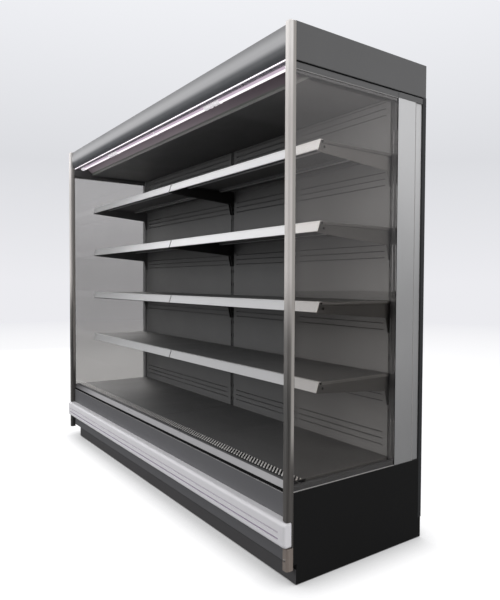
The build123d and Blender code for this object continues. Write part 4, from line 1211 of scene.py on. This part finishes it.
@dataclass
class EndTrim:
    """Gaskets and beads round one end wall's pane, which paint shadow lines and highlights, and the head and front edge
    of its rear cover, where a grey strip paints shade.
    """

    workshop: Workshop
    side: str
    line: float = 0.0058           # height of the black line below the top panel, painted shadow of its gap
    head_lap: float = 0.012        # how far the cover's head comes down past the pane's
    head_inset: float = 0.002      # of the head, from the cover's rear
    bead: float = 0.0028
    rail: float = 0.002            # how far the rails stand out from the glass
    proud: float = 0.0018          # how far the rear gasket does
    rear_line: float = 0.0035      # width of that gasket
    strip: float = 0.046           # width of the cover behind its fold
    strip_root: float = 0.0058     # of the grey strip of painted shade on the cover's front edge
    edge_gauge: float = 0.0014     # of the cover's front edge
    edge_inset: float = 0.0242     # of that edge, from the glass's face
    fold_front: float = 0.001      # reach of the bead at the fold, each way
    fold_rear: float = 0.002
    fold_root: float = 0.004       # its depth, from the cover's face
    fold_sink: float = 0.0006      # how far it stays inside the top panel's face
    gap: float = 0.0001
    round_by: float = 0.0006

    def build(self) -> None:
        """Makes the black lines of painted shadow, the cover's head, the grey strip of painted shade on its edge, and
        the bright beads of painted highlight of this side.
        """
        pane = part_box(f"end_glass_{self.side}")
        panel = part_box(f"end_top_panel_{self.side}")
        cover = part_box(f"end_rear_cover_{self.side}")
        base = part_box(f"end_base_panel_{self.side}")
        face = self._reach(pane)[1]
        outer = self._reach(panel)[1] - self.gap
        cover_back, cover_face = self._reach(cover)
        rail, strip = face + self.rail, cover_face - self.strip_root
        front, fold, rear = pane[0].y, cover[1].y - self.strip, pane[1].y
        inner = rear - self.rear_line
        head = cover[1].z - self.gap
        below, foot = head - self.line, pane[1].z - self.head_lap
        top, bottom = panel[0].z - self.gap, base[1].z + self.gap
        # black lines under the top panel and the cover's head, painted shadow of the gap there, and a black gasket up
        # the pane's rear edge
        self._deliver("gasket", "gasket_and_shadow_black", (
            ((rail + self.gap, front, below), (outer, cover[0].y, head)),
            ((cover_face + self.gap, cover[0].y, below), (outer, fold, head)),
            ((strip, fold, below), (outer, cover[1].y, head)),
            ((face + self.gap, inner, bottom), (face + self.proud, rear, top))))
        self._deliver("cover_head", "cap_paint", (
            ((cover_face + self.gap, cover[0].y, foot), (outer, fold, below)),
            ((strip, fold, foot), (outer, cover[1].y - self.head_inset, below))))
        # painted shade: a grey strip over the cover's front edge, seen through the pane
        self._deliver("cover_edge", "spacer_and_shade_grey", (
            ((cover_back + self.gap, cover[0].y - self.edge_gauge, bottom),
             (face - self.edge_inset, cover[0].y - self.gap, top)),))
        # bright beads at the glass's top and foot, painted highlights along those edges, and a bead that paints the
        # crease at the cover's fold
        self._deliver("bead", "bead_and_highlight_aluminium", (
            ((face + self.gap, front, top - self.bead), (rail + self.gap, inner, top)),
            ((face + self.gap, front, bottom), (outer, inner, base[1].z + self.bead)),
            ((cover_face - self.fold_root, fold - self.fold_front, bottom),
             (outer - self.fold_sink, fold + self.fold_rear, foot))))

    @staticmethod
    def _reach(box: Sequence[Vector]) -> list[float]:
        """How far a node's inner and outer faces lie from the cabinet's middle."""
        return sorted(abs(corner.x) for corner in box)

    def _deliver(self, name: str, finish: str,
                 blocks: Sequence[tuple[Sequence[float], Sequence[float]]]) -> None:
        """Makes one piece of rounded bars, on this side of the cabinet.

        Args:
            name: What the piece is called, without its side.
            finish: Its finish.
            blocks: Both corners of each bar, with X measured outwards.
        """
        built = bmesh.new()
        sign = -1 if self.side == "left" else 1
        for low, high in blocks:
            xs = sorted((sign * low[0], sign * high[0]))
            add_block(built, Vector((xs[0], low[1], low[2])), Vector((xs[1], high[1], high[2])),
                      self.round_by)
        name = f"{name}_{self.side}"
        self.workshop.deliver(to_mesh(name, built), Piece(name, CABINET, finish))


@dataclass
class AirOutlet:
    """The honeycomb of thin foil in the canopy's air outlet, behind a bright bead."""

    workshop: Workshop
    repeater: Repeater
    fold: float = 0.0045           # run of one fold along the outlet
    depth: float = 0.004           # how far a fold goes across it
    gauge: float = 0.0004
    strips: int = 3
    rim: float = 0.003
    sink: float = 0.0015           # foil edge above the frame's lower face
    front_bead: float = 0.0044     # height of the bead below the outlet
    bead_width: float = 0.005
    bead_gap: float = 0.0001

    def build(self) -> None:
        """Makes the foil across the whole outlet, and its bead."""
        low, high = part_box("air_honeycomb")
        self._bead(low, high)
        span = high.x - low.x - 2 * self.rim
        points = int(span / self.fold)
        spacing = (high.y - low.y - 2 * self.rim - self.depth) / self.strips
        mesh = self.repeater.make(Pattern.FOIL, "outlet_foil", Points=points, Step=self.fold,
                                  Depth=self.depth, Height=high.z - low.z - 2 * self.sink,
                                  Gauge=self.gauge, Strips=self.strips + 1, Strip_Spacing=spacing,
                                  Finish=self.workshop.finishes["foil"])
        start = Vector((low.x + self.rim, low.y + self.rim, (low.z + high.z) / 2))
        mesh.transform(Matrix.Translation(start))
        self.workshop.deliver(mesh, Piece("outlet_foil", CABINET, "foil", "vane_aluminium"))

    def _bead(self, low: Vector, high: Vector) -> None:
        """A rounded bead under the fascia's lip, which glows with painted lamplight.

        Args:
            low: The lowest corner of the node that it fits.
            high: That node's highest corner.
        """
        top = low.z - self.bead_gap
        half = self.bead_width / 2
        arc = [(low.y - half * math.cos(a), top - self.front_bead + half - half * math.sin(a))
               for a in arc_angles(0, 180)]
        mesh = extruded("outlet_bead", [(low.y + half, top), (low.y - half, top), *arc], low.x, high.x)
        self.workshop.deliver(mesh, Piece("outlet_bead", CABINET, "lit_edge"), smooth=True)


@dataclass
class LampRow:
    """White sleeves on the ends of the lamp tubes, and a clip at the middle of the row."""

    workshop: Workshop
    tube_radius: float = 0.013
    sleeve_length: float = 0.05
    sleeve_wall: float = 0.0012
    sleeve_fit: float = 0.98       # its bore, as a share of the tube
    ring_length: float = 0.006
    ring_rise: float = 0.0012
    ring_slope: float = 1.2        # where a ring has come down to the sleeve, in its lengths
    segments: int = 24
    clip_width: float = 0.009
    lamp_long: float = 1.199
    lamp_short: float = 0.589
    holder_gap: float = 0.0328     # from one tube's end to the next one's

    def ends(self) -> list[tuple[float, int]]:
        """X of each tube end, and which way the tube lies from it.

        Returns:
            A pair for each end, from left to right.
        """
        half = self.lamp_long / 2
        outer = half + self.holder_gap
        return [(-outer - self.lamp_short, 1), (-outer, -1), (-half, 1), (half, -1), (outer, 1),
                (outer + self.lamp_short, -1)]

    def build(self) -> None:
        """Makes a sleeve round every tube end, and the clip."""
        low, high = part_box("lamp_tubes")
        centre = (low + high) / 2
        built = bmesh.new()
        for x, way in self.ends():
            built.from_mesh(self._sleeve(Vector((x, centre.y, centre.z)), way, self.sleeve_length))
        built.from_mesh(self._sleeve(Vector((-self.clip_width / 2, centre.y, centre.z)), 1, self.clip_width))
        self.workshop.deliver(to_mesh("lamp_sleeves", built), Piece("lamp_sleeves", CABINET, "lamp_sleeve"),
                              smooth=True)

    def _sleeve(self, place: Vector, way: int, length: float) -> bpy.types.Mesh:
        """A thin sleeve with a raised ring at each end.

        Args:
            place: The middle of its first end.
            way: Which way along X it reaches.
            length: How far it reaches.

        Returns:
            The closed mesh.
        """
        bore, outer = self.tube_radius * self.sleeve_fit, self.tube_radius + self.sleeve_wall
        crest, ring = outer + self.ring_rise, min(self.ring_length, length / 3)
        slope = ring * self.ring_slope
        profile = ((bore, 0), (crest, 0), (crest, ring), (outer, slope), (outer, length - slope),
                   (crest, length - ring), (crest, length), (bore, length), (bore, 0))
        turn = Euler((0, way * math.pi / 2, 0)).to_matrix().to_4x4()
        return turned("sleeve", profile, self.segments, Matrix.Translation(place) @ turn)


@dataclass
class BumperInlays:
    """Soft strips pressed into the two grooves of the trolley bumper."""

    workshop: Workshop
    groove_heights: tuple[float, float] = (0.177, 0.202)
    groove: float = 0.007
    groove_depth: float = 0.003
    side_gap: float = 0.0002
    root: float = 0.0004           # how far a strip goes into the groove's floor
    crown: float = 0.0012
    cap_length: float = 0.037

    def build(self) -> None:
        """Makes both strips, crowned a little, below the bumper's face."""
        low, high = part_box("bumper")
        ends = high.x - self.cap_length
        back = low.y + self.groove_depth
        rear = back + self.root
        half = self.groove / 2 - self.side_gap
        for height, finish in zip(self.groove_heights, ("inlay_mauve", "inlay_pale")):
            arc = [(back - self.crown * math.cos(a), height + half * math.sin(a))
                   for a in arc_angles(-90, 90)]
            mesh = extruded(finish, [(rear, height + half), (rear, height - half), *arc], -ends, ends)
            self.workshop.deliver(mesh, Piece(finish, CABINET, finish), smooth=True)


@dataclass
class Shelving:
    """Two rivets near the front of each shelf's end flange, and light faces under its ribs that paint where the ribs
    catch light.
    """

    workshop: Workshop
    repeater: Repeater
    parts: SmallParts
    front_inset: float = 0.03      # of the lower rivet, from the shelf's front and below its top
    drop: float = 0.026
    step: tuple[float, float, float] = (0.0, -0.01, 0.0205)    # from the lower rivet to the upper one
    rib_middles: tuple[float, float] = (-0.1, 0.115)
    rib_half: float = 0.0095
    rib_drop: float = 0.0145       # below the shelf's top
    rib_gauge: float = 0.0006
    rib_inset: float = 0.03        # from the shelf's ends, clear of its brackets
    rib_round: float = 0.0002

    def build(self) -> None:
        """Makes the rivets and rib faces of every shelf, which ride with it."""
        heads = {"left": self.parts.rivet("-x"), "right": self.parts.rivet("+x")}
        for level in SHELF_LEVELS:
            for side in SIDES:
                body = f"shelf_{level}_{side}"
                low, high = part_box(body)
                x = low.x if side == "left" else high.x
                start = Vector((x, low.y + self.front_inset, high.z - self.drop))
                name = f"rivets_{level}_{side}"
                mesh = self.repeater.make(Pattern.ROWS, name, Count=1, Rows=2,
                                          Row_Spacing=Vector(self.step), Start=start, Part=heads[side],
                                          Finish=self.workshop.finishes["rivet_dark"])
                self.workshop.deliver(mesh, Piece(name, body, "rivet_dark"), smooth=True)
                self._rib_faces(body)

    def _rib_faces(self, body: str) -> None:
        """Thin light faces on the undersides of one shelf's ribs, a painted highlight.

        Args:
            body: The shelf's body, which is also its node's name.
        """
        low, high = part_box(body)
        left, right = low.x + self.rib_inset, high.x - self.rib_inset
        height = high.z - self.rib_drop
        built = bmesh.new()
        for middle in self.rib_middles:
            add_block(built, Vector((left, middle - self.rib_half, height - self.rib_gauge)),
                      Vector((right, middle + self.rib_half, height)), self.rib_round)
        name = f"rib_faces_{body}"
        self.workshop.deliver(to_mesh(name, built), Piece(name, body, "rib_sheen"))


@dataclass
class RearPanels:
    """Webs across the air slots of the rear panels, which turn each slot into a row of small holes."""

    workshop: Workshop
    repeater: Repeater
    parts: SmallParts
    row_heights: tuple[float, ...] = (1.89, 1.588, 1.274, 0.96, 0.646, 0.452)
    row_pitch: float = 0.028
    rows: int = 3
    slot_height: float = 0.003
    web: float = 0.004
    web_pitch: float = 0.012
    margin: float = 0.02
    gauge: float = 0.0006
    sink: float = 0.0005           # of a web, behind the panel's face
    lap: float = 0.0002            # how far it reaches past its slot
    round_by: float = 0.0001

    def build(self) -> None:
        """Makes the webs of both panels, group by group."""
        web = self._web()
        for side in SIDES:
            low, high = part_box(f"rear_panel_{side}")
            count = int((high.x - low.x - 2 * self.margin) / self.web_pitch)
            built = bmesh.new()
            for middle in self.row_heights:
                start = Vector((low.x + self.margin, low.y + self.sink, middle + self.row_pitch))
                mesh = self.repeater.make(Pattern.ROWS, "webs", Count=count,
                                          Spacing=(self.web_pitch, 0.0, 0.0), Rows=self.rows,
                                          Row_Spacing=(0.0, 0.0, -self.row_pitch), Start=start, Part=web,
                                          Finish=self.workshop.finishes["inner_paint"])
                built.from_mesh(mesh)
            name = f"vent_webs_{side}"
            self.workshop.deliver(written(name, built), Piece(name, CABINET, "inner_paint", "inner_paint"))

    def _web(self) -> bpy.types.Object:
        """One web, as tall as a slot.

        Returns:
            The hidden object.
        """
        built = bmesh.new()
        half = Vector((self.web / 2, 0.0, self.slot_height / 2 + self.lap))
        add_block(built, -half, half + Vector((0.0, self.gauge, 0.0)), self.round_by)
        return self.parts.keep("vent_web", to_mesh("vent_web", built))


@dataclass
class ReturnGrille:
    """Slanted bars across the return grille, over its dark slots."""

    workshop: Workshop
    repeater: Repeater
    parts: SmallParts
    pitch: float = 0.02
    width: float = 0.0082          # of a bar, measured along the grille
    depth: float = 0.043           # of a bar, across the grille
    rise: float = 0.0032
    slant: float = 0.95            # run along the grille for each metre across it
    margin: float = 0.003
    round_by: float = 0.0007
    border_height: float = 0.0012
    border_inset: float = 0.001    # from the grille's ends, and behind the bars
    border_rear: float = 0.0005    # from its rear edge
    border_round: float = 0.0004

    def build(self) -> None:
        """Makes the bars and the plain border behind them, which lift out with the grille."""
        low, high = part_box("return_grille")
        front = low.y + self.margin
        run = self.slant * self.depth + self.width
        count = int((high.x - low.x + run) / self.pitch)
        start = Vector((-(count - 1) * self.pitch / 2, front + self.depth / 2, high.z))
        mesh = self.repeater.make(Pattern.ROWS, "grille_bars", Count=count,
                                  Spacing=(self.pitch, 0.0, 0.0), Rows=1, Start=start, Part=self._bar(),
                                  Finish=self.workshop.finishes["grille_bars"])
        self._trim(mesh, low.x + self.margin, high.x - self.margin)
        self.workshop.deliver(mesh, Piece("grille_bars", "return_grille", "grille_bars"))
        border, inset = bmesh.new(), self.border_inset
        add_block(border, Vector((low.x + inset, front + self.depth + inset, high.z)),
                  Vector((high.x - inset, high.y - self.border_rear, high.z + self.border_height)),
                  self.border_round)
        self.workshop.deliver(to_mesh("grille_border", border),
                              Piece("grille_border", "return_grille", "deck_paint"))

    def _bar(self) -> bpy.types.Object:
        """One bar, sheared so that it slants.

        Returns:
            The hidden object.
        """
        built = bmesh.new()
        half = Vector((self.width / 2, self.depth / 2, 0.0))
        add_block(built, -half, half + Vector((0.0, 0.0, self.rise)), self.round_by)
        built.transform(Matrix(((1, -self.slant, 0, 0), (0, 1, 0, 0), (0, 0, 1, 0), (0, 0, 0, 1))))
        return self.parts.keep("grille_bar", to_mesh("grille_bar", built))

    @staticmethod
    def _trim(mesh: bpy.types.Mesh, left: float, right: float) -> None:
        """Cuts the bars off square at both ends of the grille, and closes the cuts.

        Args:
            mesh: The bars, changed in place.
            left: X of the left end.
            right: X of the right end.
        """
        built = bmesh.new()
        built.from_mesh(mesh)
        for x, outward in ((left, -1), (right, 1)):
            everything = [*built.verts, *built.edges, *built.faces]
            cut = bmesh.ops.bisect_plane(built, geom=everything, plane_co=(x, 0, 0),
                                         plane_no=(outward, 0, 0), clear_outer=True)
            edges = [item for item in cut["geom_cut"] if isinstance(item, bmesh.types.BMEdge)]
            bmesh.ops.holes_fill(built, edges=edges, sides=0)
        bmesh.ops.recalc_face_normals(built, faces=built.faces)
        built.to_mesh(mesh)
        built.free()


@dataclass
class FrontJoint:
    """Black strip in the joint between the sill's nose and the front panel, which paints the shadow there, and the
    bright bead below it, which paints a highlight on the panel's top edge.
    """

    workshop: Workshop
    recess: float = 0.008          # of the joint, behind the nose's face
    height: float = 0.015
    stand: float = 0.0068          # how far the strip stands out of the joint
    nose_gap: float = 0.0006       # between the strip and the nose above it
    slope: float = 0.001           # of the strip's upper and lower faces
    gap: float = 0.0001            # between each of them and the metal behind it
    edge_gap: float = 0.0002       # between each of them and the panel's upper edge
    end_gap: float = 0.004
    bead: float = 0.0022
    bead_proud: float = 0.0006
    bead_slope: float = 0.2        # as a share of its height

    def build(self) -> None:
        """Makes the strip and the bead along the whole front."""
        sill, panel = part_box("front_sill"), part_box("front_panel")
        start, end = sill[0].x + self.end_gap, sill[1].x - self.end_gap
        edge = panel[1].z
        back = sill[0].y + self.recess - self.gap
        nose = back - self.stand
        low, high = edge + self.edge_gap, edge + self.height - self.nose_gap
        # painted shadow: a black strip in the joint under the sill's nose
        self._deliver("joint_strip", "gasket_and_shadow_black", start, end, (
            (back, low), (nose, low + self.slope), (nose, high - self.slope), (back, high)))
        face, top = panel[0].y - self.gap, edge - self.edge_gap
        proud, slope = face - self.bead_proud, self.bead * self.bead_slope
        # painted highlight: a bright bead along the front panel's top edge
        self._deliver("joint_bead", "bead_and_highlight_aluminium", start, end, (
            (face, top), (face, top - self.bead), (proud, top - self.bead + slope), (proud, top - slope)))

    def _deliver(self, name: str, finish: str, start: float, end: float,
                 outline: Sequence[tuple[float, float]]) -> None:
        """Makes one strip of an outline."""
        self.workshop.deliver(extruded(name, outline, start, end), Piece(name, CABINET, finish))


@dataclass
class Fixings:
    """Screws that show: at the foot of each corner post."""

    workshop: Workshop
    repeater: Repeater
    parts: SmallParts
    foot_height: float = 0.102

    def build(self) -> None:
        """Makes the screws of both posts."""
        head = self.parts.screw("-y")
        built = bmesh.new()
        for side in SIDES:
            low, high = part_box(f"front_post_{side}")
            start = Vector(((low.x + high.x) / 2, low.y, self.foot_height))
            mesh = self.repeater.make(Pattern.ROWS, "post_screws", Count=1, Rows=1, Start=start, Part=head,
                                      Finish=self.workshop.finishes["screw_zinc"])
            built.from_mesh(mesh)
        self.workshop.deliver(written("post_screws", built), Piece("post_screws", CABINET, "screw_zinc"),
                              smooth=True)


# ---------------------------------------------------------------- studio
@dataclass
class Studio:
    """Floor, background, lights and the camera at the photograph's angle."""

    camera_place: tuple[float, float, float] = (2.876, -1.659, 1.134)
    camera_yaw: float = 0.9601
    camera_pitch: float = -0.0307
    camera_roll: float = -0.0041
    focal_pixels: float = 558.88   # for the 600-pixel side of the 500 x 600 picture
    picture_side: float = 600.0
    sensor: float = 36.0
    floor_reach: float = 60.0
    view_reach: float = 400.0
    floor_lift: float = 0.9        # how much of the floor's white is its own
    shadow_reach: float = 0.15     # how far the object darkens the floor beside it
    world_light: float = 0.5
    low_gloss: float = 0.17        # what gloss sees level with it, high up, and on the bright left
    high_gloss: float = 0.6
    left_gloss: float = 0.85
    key_power: float = 150.0
    low_power: float = 110.0
    left_power: float = 230.0
    right_power: float = 200.0

    def build(self) -> None:
        """Makes everything round the object."""
        self._camera()
        self._world()
        self._floor()
        self._lights()
        view = bpy.context.scene.view_settings
        view.view_transform = "Standard"

    def _camera(self) -> None:
        """The fitted camera."""
        data = bpy.data.cameras.new("camera")
        data.sensor_width = self.sensor
        data.sensor_fit = "AUTO"
        data.lens = self.focal_pixels / self.picture_side * self.sensor
        data.dof.use_dof = False
        data.clip_end = self.view_reach
        made = into_scene("camera", data)
        made.location = self.camera_place
        made.rotation_euler = (math.pi / 2 + self.camera_pitch, self.camera_roll, self.camera_yaw)
        bpy.context.scene.camera = made

    @staticmethod
    def _seen(graph: Graph) -> Socket:
        """One for rays that show the background: from the camera, and straight on through glass.

        Args:
            graph: The tree it is drawn in.

        Returns:
            The mask's socket.
        """
        rays = graph.add("ShaderNodeLightPath")
        straight = graph.math("LESS_THAN", rays.outputs["Glossy Depth"], 0.5)
        through = graph.math("MULTIPLY", rays.outputs["Is Transmission Ray"], straight)
        return graph.math("MAXIMUM", rays.outputs["Is Camera Ray"], through)

    @staticmethod
    def _in_gloss(graph: Graph) -> Socket:
        """One for rays that a glossy surface has turned back.

        Args:
            graph: The tree it is drawn in.

        Returns:
            The mask's socket.
        """
        rays = graph.add("ShaderNodeLightPath")
        turned_back = graph.math("GREATER_THAN", rays.outputs["Glossy Depth"], 0.5)
        return graph.math("MAXIMUM", rays.outputs["Is Glossy Ray"], turned_back)

    def _world(self) -> None:
        """Pale grey behind the object, and even soft light on it."""
        world = bpy.data.worlds.new("studio")
        world.use_nodes = True
        bpy.context.scene.world = world
        graph = Graph(world.node_tree)
        shown = world.node_tree.nodes["Background"]
        way = graph.add("ShaderNodeSeparateXYZ", {0: graph.add("ShaderNodeTexCoord").outputs["Generated"]})
        height = way.outputs["Z"]
        low = graph.mix(graph.remap(height, 0.0, 0.2), tone("#ececf0"), tone("#dcdde1"))
        graph.fill(shown.inputs["Color"], graph.mix(graph.remap(height, 0.2, 0.5), low, tone("#f4f5f9")))
        graph.fill(shown.inputs["Strength"], 1.0)
        light = graph.add("ShaderNodeBackground", {"Color": tone("#fbfbff"), "Strength": self.world_light})
        high = graph.remap(height, 0.0, 0.35, self.low_gloss, self.high_gloss)
        left = graph.remap(way.outputs["X"], -0.2, -0.85, 0.0, self.left_gloss)
        gloss = graph.add("ShaderNodeBackground", {"Color": tone("#fbfbff"),
                                                   "Strength": graph.math("MAXIMUM", high, left)})
        unseen = graph.add("ShaderNodeMixShader", {0: self._in_gloss(graph), 1: light.outputs[0],
                                                   2: gloss.outputs[0]})
        both = graph.add("ShaderNodeMixShader", {0: self._seen(graph), 1: unseen.outputs[0],
                                                 2: shown.outputs[0]})
        graph.fill(world.node_tree.nodes["World Output"].inputs["Surface"], both.outputs[0])

    def _floor(self) -> None:
        """A pale floor that is white near the object and fades into the background far off."""
        built = bmesh.new()
        bmesh.ops.create_grid(built, x_segments=8, y_segments=8, size=self.floor_reach)
        mesh = written("floor", built)
        made = into_scene("floor", mesh)
        material = bpy.data.materials.new("floor")
        material.use_nodes = True
        graph = Graph(material.node_tree)
        shader = material.node_tree.nodes["Principled BSDF"]
        place = graph.add("ShaderNodeTexCoord").outputs["Object"]
        far = graph.add("ShaderNodeVectorMath", {0: place}, operation="LENGTH").outputs["Value"]
        share = graph.remap(far, 4.0, 14.0)
        shader.inputs["Roughness"].default_value = 0.9
        shader.inputs["Specular IOR Level"].default_value = 0.0
        near = graph.mix(self._in_gloss(graph), tone("#808082"), tone("#4a4a4a"))
        graph.fill(shader.inputs["Base Color"], graph.mix(share, near, tone("#000000")))
        glow = graph.add("ShaderNodeEmission", {"Color": graph.mix(share, tone("#ffffff"), tone("#ececf0"))})
        shade = graph.add("ShaderNodeAmbientOcclusion", {"Distance": self.shadow_reach}, samples=8)
        own_white = graph.remap(share, 0.0, 1.0, self.floor_lift, 1.0)
        lift = graph.math("MULTIPLY", own_white, shade.outputs["AO"])
        graph.fill(glow.inputs["Strength"], graph.math("MULTIPLY", self._seen(graph), lift))
        both = graph.add("ShaderNodeAddShader", {0: shader.outputs[0], 1: glow.outputs[0]})
        graph.fill(material.node_tree.nodes["Material Output"].inputs["Surface"], both.outputs[0])
        mesh.materials.append(material)

    def _area(self, name: str, place: Sequence[float], target: Sequence[float], size: float, power: float,
              glossy: bool = True) -> None:
        """One soft light.

        Args:
            name: The light's name.
            place: Where it hangs.
            target: What it is aimed at.
            size: Its side.
            power: Its power in watts.
            glossy: Whether panes and metal mirror it.
        """
        data = bpy.data.lights.new(name, "AREA")
        data.size = size
        data.energy = power
        made = into_scene(name, data)
        made.location = place
        aim = Vector(target) - Vector(place)
        made.rotation_euler = aim.to_track_quat("-Z", "Y").to_euler()
        made.visible_camera = False
        made.visible_transmission = False
        made.visible_glossy = glossy

    def _lights(self) -> None:
        """A large soft light in front on the left, one low in front of the shelves, and one for each end."""
        self._area("key", (-1.6, -5.4, 4.2), (0.0, 0.0, 1.0), 4.0, self.key_power)
        self._area("top", (0.5, -0.5, 5.5), (0.0, 0.0, 0.0), 4.0, self.key_power * 0.35)
        self._area("low", (-1.8, -6.0, 1.2), (0.0, 0.0, 1.0), 3.0, self.low_power)
        self._area("left", (-6.0, 1.0, 2.6), (-1.0, 0.0, 0.7), 2.4, self.left_power)
        self._area("right", (6.5, 1.2, 2.0), (1.3, 0.0, 1.1), 3.0, self.right_power, glossy=False)


def main() -> None:
    """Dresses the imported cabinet, adds its trim and sets the studio round it."""
    logging.basicConfig(level=logging.INFO, format="%(name)s: %(message)s")
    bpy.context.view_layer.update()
    finishes = Finishes()
    workshop = Workshop(finishes)
    repeater = Repeater()
    parts = SmallParts()
    Carcass(finishes).dress()
    for side in SIDES:
        EndPane(workshop, side).build()
        EndTrim(workshop, side).build()
    AirOutlet(workshop, repeater).build()
    LampRow(workshop).build()
    BumperInlays(workshop).build()
    Shelving(workshop, repeater, parts).build()
    RearPanels(workshop, repeater, parts).build()
    ReturnGrille(workshop, repeater, parts).build()
    FrontJoint(workshop).build()
    Fixings(workshop, repeater, parts).build()
    parts.clear()
    Studio().build()
    LOG.info("%d pieces of trim", workshop.count)


if __name__ == "__main__":
    main()
